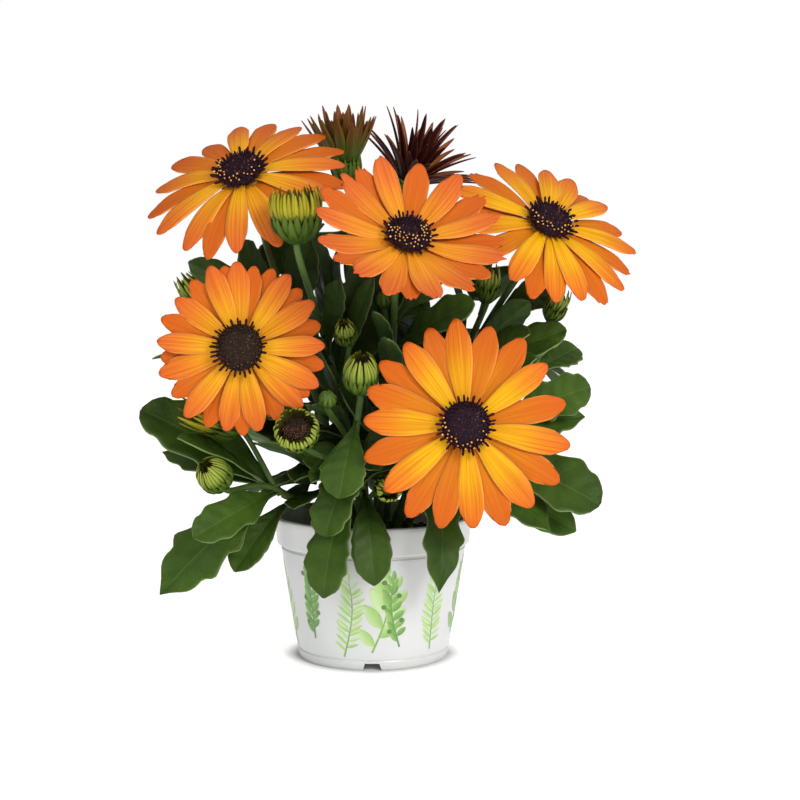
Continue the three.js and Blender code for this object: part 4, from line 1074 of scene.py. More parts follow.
# %% Where the buds are
BUDS = {
    "bud_1": {"centre": (-30.8, -54, 195.3), "lean": 10, "turn": -20, "radius": 9.6,
              "height": 14, "fingers": 13, "open": 1.02, "eye": True},
    "bud_2": {"centre": (-4.2, -55, 130), "lean": 28, "turn": 5, "radius": 7,
              "height": 11.5, "fingers": 9, "open": 0.5, "eye": True},
    "bud_3": {"centre": (-30.2, -64, 108.5), "lean": 58, "turn": -8, "radius": 8.2,
              "height": 8, "fingers": 12, "open": 0.95, "eye": True, "eye_part": 0.64},
    "bud_4": {"centre": (-66, -47, 87.5), "lean": 52, "turn": -35, "radius": 7,
              "height": 10, "fingers": 9, "open": 0.45, "eye": True},
    "bud_5": {"centre": (-10.8, -41, 147.5), "lean": 40, "turn": -10, "radius": 4.6,
              "height": 7.5, "fingers": 7, "open": 0.4, "crown": True},
    "bud_6": {"centre": (7, -52, 83.5), "lean": 95, "turn": 10, "radius": 5.6,
              "height": 8, "fingers": 7, "open": 0.6, "crown": True},
    "bud_7": {"centre": (50.9, -12, 166), "lean": 18, "turn": 25, "radius": 5,
              "height": 12, "fingers": 7, "open": 0.9, "crown": True},
    "bud_8": {"centre": (81, -8, 157), "lean": 28, "turn": 50, "radius": 4.6,
              "height": 11, "fingers": 7, "open": 0.9, "crown": True},
    "bud_9": {"centre": (-63.5, -31, 107), "lean": 64, "turn": -68, "radius": 6,
              "height": 22, "fingers": 8, "open": 1.1},
    "bud_10": {"centre": (-77, -22, 163), "lean": 38, "turn": -55, "radius": 4.8,
               "height": 12, "fingers": 7, "open": 1.0, "crown": True},
    "closed_1": {"centre": (-18, -58, 122), "lean": 40, "turn": 5, "radius": 3.4, "closed": True},
    "closed_2": {"centre": (5, -30, 163), "lean": 20, "turn": -15, "radius": 3.2, "closed": True},
}
open_buds = {name: bud for name, bud in BUDS.items() if "closed" not in bud}
print("buds:", len(open_buds), "with rays,", len(BUDS) - len(open_buds), "closed")

# %% The plain rays of a bud
def bud_rays(bud):
    rays = []
    for i in range(bud["fingers"]):
        rays.append(head_blade(
            bud, 360 / bud["fingers"] * (i + 0.3 * spread(i)), (0.42 * bud["radius"], 0.4),
            (1.38 * bud["radius"], 0.42 * bud["height"]),
            (bud["open"] * bud["radius"] * (0.85 + 0.3 * spread(i * 2)),
             bud["height"] * (0.92 + 0.16 * spread(i * 3))),
            0.2 * bud["radius"], "spike", 0.25, spread(i * 5)))
    return rays


print("plain rays of the first bud:", len(bud_rays(BUDS["bud_1"])))

# %% The fine rays of a bud
def crown_rays(bud):
    """The close rays of a young bud, on the line of its plain crown."""
    radius, height = bud["radius"], bud["height"]
    rays = []
    for i in range(18):
        long = height * (0.98 if i % 2 else 0.74) * (0.94 + 0.12 * spread(i * 3))
        rays.append(head_blade(
            bud, 20 * (i + 0.3 * spread(i)), (0.5 * radius, -0.3), (1.32 * radius, 0.45 * long),
            (0.82 * radius * (0.8 + 0.3 * spread(i * 2)) * bud["open"] ** 0.5, long),
            0.17 * radius, "spike", 0.25, spread(i * 5)))
    return rays


def fine_rays(bud):
    """Three narrow rays in the place of each plain one."""
    rays = []
    for i in range(3 * bud["fingers"]):
        long = bud["height"] * ((0.6 if "eye_part" in bud else 0.8) + 0.24 * scatter(i))
        bow = (1.34 + 0.12 * scatter(2 * i)) * bud["radius"]
        rays.append(head_blade(
            bud, 120 / bud["fingers"] * (i + 0.5 * scatter(3 * i)), (0.78 * bud["radius"], -1.2),
            (bow, 0.4 * long), (bud["open"] * bud["radius"] * (0.8 + 0.3 * scatter(4 * i)), long),
            0.115 * bud["radius"], "spike", 0.25, scatter(5 * i)))
    return rays


def doubled_rays(bud):
    """The plain bud's rays, with a shorter one in each gap."""
    more = dict(bud, height=0.82 * bud["height"], radius=0.93 * bud["radius"])
    between = [head_blade(
        more, 360 / bud["fingers"] * (i + 0.5 + 0.2 * spread(i)), (0.42 * more["radius"], 0.4),
        (1.34 * more["radius"], 0.42 * more["height"]),
        (bud["open"] * more["radius"] * 0.9, more["height"] * (0.9 + 0.16 * spread(i * 7))),
        0.2 * more["radius"], "spike", 0.25, spread(i * 5 + 2)) for i in range(bud["fingers"])]
    return bud_rays(bud) + between


print("fine rays of the first bud:", len(fine_rays(BUDS["bud_1"])))

# %% Finishes of the buds
young_outside = outside_finish("young_outside", (0.33, 0.4, 0.05), (0.05, 0.11, 0.01),
                               (0.06, 0.13, 0.012), (0.42, 0.45, 0.07), 0.6)
young_inside = outside_finish("young_inside", (0.12, 0.12, 0.012), (0.08, 0.08, 0.01),
                              (0.05, 0.045, 0.01), (0.34, 0.3, 0.03))
golden_outside = outside_finish("golden_outside", (0.5, 0.42, 0.02), (0.14, 0.17, 0.012),
                                (0.12, 0.18, 0.015), (0.42, 0.34, 0.03), 0.4)
print("finishes:", young_outside.name, young_inside.name, golden_outside.name)

# %% The buds
for name, bud in open_buds.items():
    sheets = new_sheets()
    rays = crown_rays if "crown" in bud else doubled_rays if bud["open"] > 1.05 else fine_rays
    for ray in rays(bud):
        add_sheet(sheets, ray, BUD_GRID, rolled_surface)
    outside = golden_outside if name in ("bud_1", "bud_9") else young_outside
    piece = finish_piece(sheets, f"{name}_petals", [young_inside, outside], [f"{name}_rays"])
    thicken(piece, 0.4)
    hub = bmesh.new()
    radius = 0.62 * bud["radius"]
    turned_shape(hub, [(0, -0.8), (0.8 * radius, -0.8), (radius, 0.4), (0.7 * radius, 1.4), (0, 1.4)], 24,
                 head_matrix(bud))
    finish_piece(hub, f"{name}_base", [hub_green], [f"{name}_rays"])
    if "eye" in bud:
        eye = bmesh.new()
        eye.verts.layers.float.new("pollen")
        wide = "eye_part" in bud
        add_eye(eye, bud, bud.get("eye_part", 0.4) * bud["radius"], 1.4 + FIT, 130 if wide else 50,
                0.9, 0.35 if wide else 0.0)
        finish_piece(eye, f"{name}_eye", [disc_brown if wide else disc_dark], [f"{name}_disc"])

# %% [markdown]
# ## Shoots
#
# Every head stands on a shoot that is rooted in the compost, bends out between its neighbours
# and comes into the head along the head's own axis. Under the head the stem widens into a cup
# with a ring of pointed green bracts. A stem is a bevelled curve, which keeps its round section
# round every bend and can taper. The curve is turned into a mesh, and the cups join it.

# %% Where the shoots go
STEM_RADIUS, STALK_RADIUS, STEM_STEP, SOCKET_DEPTH = 1.5, 1.15, 26, 9

# Each leaf is its height on the stem, its tip, its half width, its roll, its arch and its outline
SHOOTS = [
    {"root": (-10, -6), "via": [(-18, -9, 95), (-33, -2, 140), (-46, 8, 178)], "bloom": 0,
     "leaf_top": 196, "fill": 12, "young": 5,
     "leaves": [(146, (-82, -8, 179), 8, 50, 0.12, "leaf"), (160, (-22, -4, 196), 8, 0, 0.12, "leaf"),
                (150, (-62, -14, 188), 9, 10, 0.1, "leaf")]},
    {"root": (3, -4), "via": [(5, -8, 95), (9, -20, 140)], "bloom": 1, "leaf_top": 160, "fill": 6,
     "young": 6, "stalks": [(138, "closed_2")],
     "leaves": [(140, (44, -38, 161), 10, 25, 0.1, "lobed"), (118, (25, -44, 153), 7, 20, 0.1, "leaf"),
                (124, (5, -48, 158), 5, 0, 0.12, "leaf"), (108, (16, -54, 147), 6, 0, 0.12, "leaf")]},
    {"root": (12, -4), "via": [(25, -3, 100), (48, 0, 145)], "bloom": 2, "leaf_top": 182, "fill": 9,
     "young": 5,
     "leaves": [(126, (87, -8, 149), 8, 45, 0.12, "lobed"), (116, (86, -18, 144), 5, 30, 0.12, "leaf"),
                (130, (68, -34, 148), 8, 40, 0.12, "leaf"), (108, (80, -25, 138), 7, 40, 0.1, "leaf"),
                (150, (84, 2, 172), 9, 30, 0.12, "leaf"), (134, (71, -8, 161), 7, 0, 0.1, "leaf")]},
    {"root": (-13, -10), "via": [(-21, -13, 82), (-38, -17, 115)], "bloom": 3, "leaf_top": 132,
     "fill": 6, "young": 7,
     "leaves": [(84, (-50, -38, 101), 9, 0, 0.1, "leaf"), (78, (-34, -34, 72), 8, 0, 0.1, "leaf")]},
    {"root": (11, -12), "via": [(18, -16, 74), (30, -26, 96)], "bloom": 4, "leaf_top": 98, "fill": 2,
     "young": 3, "leaves": [(88, (28.8, -56, 39.4), 9.5, 0, 0.3, "toothed")]},
    {"root": (-3, 6), "via": [(-7, 10, 120), (-11, 12, 178)], "half_open": 0, "leaf_top": 198,
     "fill": 11, "young": 4,
     "leaves": [(150, (-16, -10, 184), 7, 0, 0.1, "leaf"), (148, (-27, 4, 189), 9, 0, 0.1, "leaf"),
                (140, (-3, 2, 187), 8, 0, 0.1, "leaf")]},
    {"root": (6, 7), "via": [(10, 18, 120), (12, 25, 175)], "half_open": 1, "leaf_top": 190,
     "fill": 9, "leaves": []},
    {"root": (-5, -13), "via": [(-10, -15, 100), (-21, -18, 145)], "bud": "bud_1", "leaf_top": 180,
     "fill": 8, "young": 8, "stalks": [(116, "bud_5"), (100, "closed_1")],
     "leaves": [(138, (-20, -38, 171), 5.5, 0, 0.1, "leaf"), (124, (-7, -42, 172), 5, 0, 0.08, "leaf"),
                (134, (-26, -42, 152), 6.5, 0, 0.12, "leaf"), (104, (-25, -54, 119), 6, 0, 0.1, "leaf")]},
    {"root": (-17, 1), "via": [(-29, -12, 70), (-47, -28, 81)], "bud": "bud_4", "leaf_top": 82,
     "fill": 2, "young": 4, "stalks": [(78, "bud_9")],
     "leaves": [(79.5, (-91, -45, 36.2), 13, -55, 0.16, "toothed"),
                (78, (-84, -50, 64), 8.5, -60, 0.14, "lobed"),
                (74, (-55, -42, 44.8), 8, -40, 0.2, "leaf"), (76, (-71, -50, 47), 9.5, -50, 0.12, "toothed"),
                (77, (-102, -20, 114), 13, -60, 0.12, "lobed"),
                (79, (-100, -12, 93), 7.5, -50, 0.1, "toothed"),
                (80, (-86, -30, 104), 9, -45, 0.12, "leaf"), (73, (-54, -47, 88), 6, 0, 0.14, "leaf"),
                (70, (-34, -52, 84), 8, 0, 0.2, "lobed"), (69, (-50, -36, 67), 8, 0, 0.15, "leaf"),
                (75, (-42, -42, 99), 8, 0, 0.1, "leaf")]},
    {"root": (17, 3), "via": [(34, -5, 82), (54, -13, 103), (70, -13, 128)], "bud": "bud_8",
     "leaf_top": 145, "fill": 3, "young": 5,
     "leaves": [(94, (99, -34, 73.5), 14.5, 45, 0.14, "lobed"), (86, (77, -40, 63), 12, 30, 0.16, "toothed"),
                (112, (96, -20, 124), 9.5, 55, 0.1, "lobed"), (104, (95, -12, 110), 9, 50, 0.1, "toothed"),
                (128, (93, 5, 140), 8, 0, 0.1, "leaf"), (84, (88, -28, 60), 9, 20, 0.14, "leaf")]},
    {"root": (1, -17), "via": [(-3, -27, 76), (-7, -42, 98)], "bud": "bud_2", "leaf_top": 110,
     "fill": 0, "young": 6, "stalks": [(88, "bud_3"), (74, "bud_6")],
     "leaves": [(112, (-13, -66, 81), 9.5, 0, 0.12, "leaf"), (86, (-20, -57, 37.3), 9.5, 0, 0.3, "leaf"),
                (80, (-1.5, -58, 42.8), 8.5, 0, 0.34, "leaf"), (94, (-19, -60, 64), 9.5, 0, 0.2, "lobed"),
                (104, (4, -58, 92), 7, 0, 0.12, "leaf"), (98, (-29, -62, 88), 5.5, 0, 0.16, "leaf")]},
    {"root": (-9, 10), "via": [(-23, 20, 95), (-47, 14, 130)], "bud": "bud_10", "leaf_top": 150,
     "fill": 7, "young": 5, "leaves": [(132, (-97.7, -15, 136.4), 9, 0, 0.12, "toothed")]},
    {"root": (11, 12), "via": [(25, 20, 95), (40, 14, 132)], "bud": "bud_7", "leaf_top": 160,
     "fill": 8, "young": 4,
     "leaves": [(138, (34, -4, 180), 9, 0, 0.12, "leaf"), (130, (47, -2, 168), 8, 0, 0.1, "leaf")]},
    {"root": (1, 16), "via": [(2, 32, 90)], "end": (4, 46, 140), "leaf_top": 140, "fill": 9, "young": 4,
     "leaves": []},
    {"root": (-11, 18), "via": [(-26, 36, 82)], "end": (-44, 48, 115), "leaf_top": 115, "fill": 8,
     "young": 4, "leaves": []},
    {"root": (11, 19), "via": [(26, 36, 82)], "end": (46, 46, 112), "leaf_top": 112, "fill": 8,
     "young": 3, "leaves": []},
]
print("shoots:", len(SHOOTS))

# %% The head on each shoot
def bud_cup(bud):
    return {"radius": 0.86 * bud["radius"], "top": -0.8 - FIT, "depth": 0.8 * bud["radius"]}


def head_of(shoot):
    """The head on a shoot, with its cup and how far the stem runs straight below it."""
    if "bloom" in shoot:
        bloom = BLOOMS[shoot["bloom"]]
        cup = {"radius": 8.2 * bloom["radius"] / 40, "top": CUP_TOP, "depth": CUP_DEPTH}
        return dict(bloom, cup=cup, straight=26)
    if "half_open" in shoot:
        cup = {"radius": 6.2, "top": -1 - FIT, "depth": 7}
        return dict(HALF_OPEN[shoot["half_open"]], cup=cup, straight=20)
    if "bud" in shoot:
        bud = BUDS[shoot["bud"]]
        return dict(bud, cup=bud_cup(bud), straight=1.6 * bud["radius"])
    return None


print("shoots with a head:", sum(head_of(shoot) is not None for shoot in SHOOTS))

# %% The line of each stem
LINE_PARTS = np.linspace(0, 1, 201)


def arrival(head, cup_depth, straight):
    origin, axis, _, _ = head_axes(head)
    return [origin - axis * straight, origin - axis * cup_depth]


def shoot_knots(shoot):
    x, y = shoot["root"]
    knots = [(x, y, SOIL_TOP + 1.5), (x, y, SOIL_TOP + 6), *shoot["via"]]
    head = head_of(shoot)
    if head is None:
        return np.array([*knots, shoot["end"]], float)
    return np.array([*knots, *arrival(head, 1 - head["cup"]["top"] + 0.5 * head["cup"]["depth"],
                                      head["straight"])], float)


def line_lengths(knots):
    points = stem_points(knots, LINE_PARTS)
    return np.concatenate([[0], np.cumsum(np.linalg.norm(np.diff(points, axis=0), axis=1))])


def point_at_height(knots, height):
    """Where a stem, as the plain solids draw it in straight stretches, comes up to a height."""
    lengths = line_lengths(knots)
    stretches = math.ceil(lengths[-1] / STEM_STEP)
    wanted = np.linspace(0, 1, stretches + 1) * lengths[-1]
    points = stem_points(knots, np.interp(wanted, lengths, LINE_PARTS))
    above = max(1, int(np.argmax(points[:, 2] >= height)))
    low, high = points[above - 1], points[above]
    return low + (high - low) * (height - low[2]) / (high[2] - low[2])


def stalk_knots(shoot, height, bud):
    cup = bud_cup(bud)
    return np.array([point_at_height(shoot_knots(shoot), height),
                     *arrival(bud, 1 - cup["top"] + 0.5 * cup["depth"], 1.8 * bud["radius"])], float)


stem_lines = [[shoot_knots(shoot), *(stalk_knots(shoot, height, BUDS[name])
                                     for height, name in shoot.get("stalks", []))] for shoot in SHOOTS]
print("longest stem:", round(max(line_lengths(lines[0])[-1] for lines in stem_lines)), "mm")

# %% Round stems from lines
def add_stems(bm, lines, root):
    """Adds round, tapering stems to a mesh, by way of a bevelled curve."""
    curve = bpy.data.curves.new("stem_line", "CURVE")
    curve.dimensions = "3D"
    curve.bevel_depth, curve.bevel_resolution, curve.use_fill_caps = 1, 3, True
    below = np.array([[*root, SOIL_TOP - SOCKET_DEPTH + 1]])
    for i, knots in enumerate(lines):
        points = stem_points(knots, np.linspace(0, 1, 40))
        if i == 0:
            points = np.vstack([below, points])
        thick = (STALK_RADIUS if i else STEM_RADIUS) * np.linspace(1.12, 0.92, len(points))
        line = curve.splines.new("POLY")
        line.points.add(len(points) - 1)
        for spot, point, radius in zip(line.points, points, thick):
            spot.co = (*point, 1)
            spot.radius = radius
    carrier = bpy.data.objects.new("stem_line", curve)
    mesh = bpy.data.meshes.new_from_object(carrier)
    bm.from_mesh(mesh)
    bpy.data.objects.remove(carrier)
    bpy.data.meshes.remove(mesh)


print("a stem is", 2 * STEM_RADIUS, "mm thick, a flower stalk", 2 * STALK_RADIUS, "mm")

# %% Cups and closed buds
def add_cup(bm, head):
    radius, top, depth = (head["cup"][key] for key in ("radius", "top", "depth"))
    profile = [(0, top - depth), (0.2 * radius, top - depth), (0.5 * radius, top - 0.84 * depth),
               (0.78 * radius, top - 0.6 * depth), (0.93 * radius, top - 0.2 * depth), (0.84 * radius, top),
               (0, top)]
    turned_shape(bm, profile, 28, head_matrix(head))


def add_closed_bud(bm, bud):
    radius = bud["radius"]
    profile = [(0, -1.3 * radius), (0.6 * radius, -1.2 * radius), (0.92 * radius, -0.6 * radius),
               (radius, -0.1 * radius), (0.8 * radius, 0.5 * radius), (0.45 * radius, 0.82 * radius),
               (0, 0.9 * radius)]
    turned_shape(bm, profile, 24, head_matrix(bud))


def heads_on(shoot):
    """The head on a shoot's own tip, and those on its stalks."""
    heads = [head_of(shoot)] if head_of(shoot) else []
    for _, name in shoot.get("stalks", []):
        heads.append(dict(BUDS[name], cup=bud_cup(BUDS[name])))
    return heads


print("heads in all:", sum(len(heads_on(shoot)) for shoot in SHOOTS))

# %% Stems' finish
stem_green, tree, surface = new_finish("stem_green", Roughness=0.5, Specular_IOR_Level=0.3)
flush = speckle(tree, 22, 2)
skin = add_ramp(tree, flush, [(0.35, (0.04, 0.085, 0.012)), (0.6, (0.07, 0.135, 0.02)),
                              (0.8, (0.09, 0.07, 0.024))])
hairs = maths(tree, "MULTIPLY", speckle(tree, 0.8), 0.24)
set_colour(tree, surface, mixed(tree, hairs, skin, (0.16, 0.24, 0.07)))
set_bump(tree, surface, speckle(tree, 0.45), 0.12)
print("finish:", stem_green.name)

# %% The stems of each shoot
for i, (shoot, lines) in enumerate(zip(SHOOTS, stem_lines), 1):
    stems = bmesh.new()
    add_stems(stems, lines, shoot["root"])
    for head in heads_on(shoot):
        if "closed" in head:
            add_closed_bud(stems, head)
        else:
            add_cup(stems, head)
    finish_piece(stems, f"stems_{i}", [stem_green], [f"shoot_{i}"])

# %% [markdown]
# ## Where the leaves go
#
# A leaf that touched its neighbour would be one solid with it, so the plain model sets its
# leaves out one by one, and a leaf that comes too near something is shortened, raised or turned
# until it is clear. The same search is repeated here, in the same order and with the same
# numbers, so that every fine leaf lies exactly over its plain one.

# %% A leaf's own bow
LEAF_FACING, LEAF_FOLD = 0.9, 0.16
UP = np.array([0.0, 0.0, 1.0])


def turned_about(vector, axis, angle):
    cos, sin = math.cos(angle), math.sin(angle)
    return vector * cos + np.cross(axis, vector) * sin + axis * np.dot(axis, vector) * (1 - cos)


def leaf_blade(foot, tip, half_width, roll, arch, outline):
    chord = tip - foot
    length = np.linalg.norm(chord)
    chord = chord / length
    upper = UP + LEAF_FACING * unit([tip[0], tip[1], 0.0])
    upper = turned_about(unit(upper - chord * np.dot(upper, chord)), chord, math.radians(roll))
    return {"foot": foot, "tip": tip, "bow": (foot + tip) / 2 + upper * arch * length,
            "across": unit(np.cross(upper, chord)), "half_width": half_width, "outline": outline,
            "fold": LEAF_FOLD, "tone": 0.5}


print("leaves placed by hand:", sum(len(shoot["leaves"]) for shoot in SHOOTS))

# %% Leaves that follow a rule
LEAF_FOOT, GOLDEN_TURN = 64, 137.5


def direction(turn, rise):
    return np.array([math.cos(turn) * math.cos(rise), math.sin(turn) * math.cos(rise), math.sin(rise)])


def rule_leaf(shoot, knots, k, owner):
    """The leaf that the rule wants at place k on a shoot."""
    part = (k + 0.6) / shoot["fill"]
    foot = point_at_height(knots, LEAF_FOOT + (shoot["leaf_top"] - LEAF_FOOT) * part)
    turn = math.radians(GOLDEN_TURN * k + 50 * owner)
    steep = 25 + 35 * part if k % 2 else -50 + 40 * part
    rise = math.radians(steep + 16 * (spread(k * 4 + owner) - 0.5))
    length = 56 - 12 * part + 8 * spread(k * 2 + owner)
    return (foot, foot + direction(turn, rise) * length, length * (0.2 + 0.06 * spread(k + owner)),
            24 * (spread(k * 3 + owner) - 0.5), 0.14, "leaf" if (k + owner) % 6 else "toothed")


def young_leaf(shoot, knots, k, owner):
    """Young leaf k of a shoot, which grows between its full-grown leaves."""
    foot = point_at_height(knots, LEAF_FOOT + (shoot["leaf_top"] - LEAF_FOOT) * (k + 0.5) / shoot["young"])
    turn = math.radians(GOLDEN_TURN * k + 80 * owner + 40)
    rise = math.radians(5 + 50 * spread(k * 5 + owner))
    length = 27 + 12 * spread(k * 3 + owner)
    return (foot, foot + direction(turn, rise) * length, 0.25 * length, 30 * (spread(k + owner) - 0.5),
            0.12, "young")


print("leaves wanted by rule:", sum(shoot["fill"] + shoot.get("young", 0) for shoot in SHOOTS))

# %% What a leaf keeps clear of
# The owner of a point is the number of its shoot, so that a leaf may start on its own stem
HEADS = -1
obstacle_points, obstacle_owners = [], []


def add_obstacles(points, owner):
    obstacle_points.append(points)
    obstacle_owners.append(np.full(len(points), owner))


def samples(blade, rows, columns):
    along = np.repeat(np.arange(1, rows + 1) / rows, columns)
    side = np.tile(np.zeros(1) if columns == 1 else 2 * np.arange(columns) / (columns - 1) - 1, rows)
    return plain_point(blade, side, along)


for rays in bloom_blades:
    for ray in rays:
        add_obstacles(samples(ray, 7, 3), HEADS)
for rays in half_open_blades:
    for ray in rays:
        add_obstacles(samples(ray, 6, 1), HEADS)
for bud in open_buds.values():
    for ray in bud_rays(bud):
        add_obstacles(samples(ray, 5, 1), HEADS)
for owner, lines in enumerate(stem_lines):
    for knots in lines:
        add_obstacles(stem_points(knots, np.linspace(0, 1, 81)), owner)
print("points to keep clear of:", sum(len(points) for points in obstacle_points))

# %% The heap that the leaves stay in
HEAP = {"middle": 108, "left": 98, "right": 96, "front": 48, "back": 80, "above": 97, "below": 66}


def in_heap(points):
    """Whether points lie in a rounded heap round the plant, a different one on each side."""
    x, y, z = points[:, 0], points[:, 1], points[:, 2] - HEAP["middle"]
    x = x / np.where(x < 0, HEAP["left"], HEAP["right"])
    y = y / np.where(y < 0, HEAP["front"], HEAP["back"])
    z = z / np.where(z > 0, HEAP["above"], HEAP["below"])
    return x * x + y * y + z * z < 1


print("the heap is", HEAP["left"] + HEAP["right"], "mm wide")

# %% A test for clear leaves
LEAF_CLEARANCE, PETIOLE_REACH = 2.9, 10


def clear_test(foot, length, owner):
    """A test of whether a leaf's points keep clear of everything round its foot."""
    points, owners = np.vstack(obstacle_points), np.concatenate(obstacle_owners)
    near = ((points - foot) ** 2).sum(axis=1) < (1.25 * length + 8) ** 2
    points, owners = points[near], owners[near]
    tree = KDTree(len(points))
    for i, point in enumerate(points):
        tree.insert(point, i)
    tree.balance()

    def is_clear(leaf):
        near_foot = np.linalg.norm(leaf - foot, axis=1) < PETIOLE_REACH
        in_pot = (leaf[:, 2] < POT_HEIGHT + 2.5) & (np.hypot(leaf[:, 0], leaf[:, 1]) < RIM_RADIUS + 3)
        if np.any(in_pot & ~near_foot):
            return False
        for start in range(7):
            for i in range(start, len(leaf), 7):
                for _, j, _ in tree.find_range(leaf[i], LEAF_CLEARANCE + 0.01):
                    if not (near_foot[i] and owners[j] == owner):
                        if ((leaf[i] - points[j]) ** 2).sum() <= LEAF_CLEARANCE ** 2:
                            return False
        return True

    return is_clear


print("a leaf keeps", LEAF_CLEARANCE, "mm clear of everything but its own stem")

# %% The search for a clear leaf
TRIES = [(size, rise, turn, twist) for size in (1, 0.85, 0.7) for rise in (0, 1, -1)
         for turn in (0, 1, -1, 2, -2, 3, -3) for twist in (0, 35)]


def place_leaf(foot, tip, half_width, roll, arch, outline, step, owner, bound):
    """The first clear leaf among shorter, higher, lower and turned ones, or none."""
    chord = tip - foot
    length = np.linalg.norm(chord)
    fall, compass = math.acos(chord[2] / length), math.atan2(chord[0], -chord[1])
    is_clear = clear_test(foot, length, owner)
    for size, rise, turn, twist in TRIES:
        phi, theta = fall - math.radians(rise * step), compass + math.radians(turn * step)
        way = np.array([math.sin(phi) * math.sin(theta), -math.sin(phi) * math.cos(theta), math.cos(phi)])
        blade = leaf_blade(foot, foot + way * length * size, half_width * math.sqrt(size), roll + twist,
                           arch, outline)
        leaf = samples(blade, 18, 9)
        if (not bound or np.all(in_heap(leaf))) and is_clear(leaf):
            add_obstacles(leaf, owner)
            return blade
    return None


print("tries for each leaf:", len(TRIES))

# %% Place the leaves
leaf_blades = [[] for _ in SHOOTS]
for owner, shoot in enumerate(SHOOTS):
    for height, tip, half_width, roll, arch, outline in shoot["leaves"]:
        foot = point_at_height(stem_lines[owner][0], height)
        leaf_blades[owner].append(place_leaf(foot, np.array(tip, float), half_width, roll, arch, outline,
                                             step=6, owner=owner, bound=False))
for rule, count in ((rule_leaf, "fill"), (young_leaf, "young")):
    for owner, shoot in enumerate(SHOOTS):
        for k in range(shoot.get(count, 0)):
            wanted = rule(shoot, stem_lines[owner][0], k, owner)
            leaf_blades[owner].append(place_leaf(*wanted, step=17, owner=owner, bound=True))
leaf_blades = [[blade for blade in blades if blade] for blades in leaf_blades]
print("leaves on each shoot:", [len(blades) for blades in leaf_blades])

# %% [markdown]
# ## Leaves
#
# The leaves are fleshy and spoon-shaped, with a few coarse teeth towards the tip, a sunken
# midrib and veins that run out to the teeth. The margin is pale and a little wavy. A grid of
# rows and columns shapes all of that: the width follows the plain leaf, and teeth, grooves and
# waves are added to it. The shader draws what is finer, such as the pale lines of the veins.

# %% Half widths of the fine leaves
LEAF_WIDTHS = {
    "leaf": smooth_through([(0, 0.13), (0.12, 0.14), (0.3, 0.42), (0.5, 0.8), (0.7, 1.0), (0.84, 0.9),
                            (0.94, 0.56), (1, 0.05)]),
    "toothed": smooth_through([(0, 0.13), (0.12, 0.15), (0.22, 0.3), (0.34, 0.62), (0.44, 0.92), (0.5, 0.74),
                               (0.58, 0.84), (0.67, 1.02), (0.73, 0.76), (0.8, 0.74), (0.86, 0.62),
                               (0.93, 0.28), (1, 0.0)]),
    "lobed": smooth_through([(0, 0.14), (0.12, 0.17), (0.26, 0.44), (0.38, 0.8), (0.48, 1.0), (0.55, 0.84),
                             (0.66, 0.92), (0.76, 1.02), (0.84, 0.8), (0.9, 0.78), (0.97, 0.45),
                             (1, 0.08)]),
    "young": smooth_through([(0, 0.16), (0.15, 0.2), (0.36, 0.66), (0.58, 1.0), (0.8, 0.78), (0.93, 0.36),
                             (1, 0.0)]),
}
print("leaf outlines:", ", ".join(LEAF_WIDTHS))

# %% The surface of a leaf and of a bract
SIDE_VEINS = 6.5


def leaf_surface(blade, side, along):
    """The plain leaf's width with teeth, and a fold, a midrib, veins and a wavy edge."""
    tone = blade["tone"]
    shift = 0.035 * np.sign(side) * np.sin(2 * math.pi * along) * (2 * tone - 1)
    reach = blade["half_width"] * np.interp(along + shift, *LEAF_WIDTHS[blade["outline"]])
    if blade["outline"] == "leaf":
        saw = ((along + 0.06 * np.sign(side)) * 7.5 + 5 * tone) % 1
        teeth = np.interp(saw, [0, 0.75, 1], [0, 1, 0]) * np.clip((along - 0.35) / 0.2, 0, 1)
        reach = reach * (0.96 + 0.14 * teeth * (0.4 + 0.9 * spread(round(97 * tone))))
    out = np.abs(side)
    fold = blade["fold"] * reach * (np.sqrt(side ** 2 + 0.02) - 0.14)
    midrib = -0.45 * np.exp(-(side * reach / 0.8) ** 2)
    veins = -0.24 * np.cos(2 * math.pi * (SIDE_VEINS * along - 0.9 * out)) * np.sin(math.pi * out) ** 0.7
    wave = (0.05 * blade["half_width"] * np.sin(2 * math.pi * (2.3 * along + tone) + 1.3 * np.sign(side))
            * side ** 2 * np.sin(math.pi * along))
    height = fold + midrib + veins * np.clip(reach / 5, 0, 1) + wave
    return off_bow(blade, along, side * reach, height)


def bract_surface(blade, side, along):
    reach = blade["half_width"] * np.interp(along, [0, 0.35, 0.7, 1], [0.8, 1, 0.7, 0])
    return off_bow(blade, along, side * reach, -0.12 * reach * side ** 2)


print("leaves and bracts have their surfaces")

# %% The pattern of a leaf's veins
def vein_pattern(tree, across, along):
    """1 on a vein and 0 between: a midrib, side veins, and a faint net."""
    rib = maths(tree, "SUBTRACT", 1, maths(tree, "MULTIPLY", across, 16))
    phase = maths(tree, "MULTIPLY_ADD", along, SIDE_VEINS, maths(tree, "MULTIPLY", across, -0.9))
    line = maths(tree, "ABSOLUTE", maths(tree, "SUBTRACT", maths(tree, "FRACT", phase), 0.5))
    side_vein = maths(tree, "SUBTRACT", maths(tree, "MULTIPLY", line, 40), 19)
    where = add_node(tree, "TexCoord").outputs["Object"]
    net = add_node(tree, "TexVoronoi", {"Vector": where, "Scale": 420}, feature="DISTANCE_TO_EDGE")
    net_vein = maths(tree, "SUBTRACT", 0.5, maths(tree, "MULTIPLY", net.outputs["Distance"], 7))
    veins = maths(tree, "MAXIMUM", maths(tree, "MAXIMUM", rib, maths(tree, "MULTIPLY", side_vein, 0.5)),
                  maths(tree, "MULTIPLY", net_vein, 0.5))
    return add_node(tree, "Clamp", {"Value": veins}).outputs[0]


print("side veins along a leaf:", SIDE_VEINS)

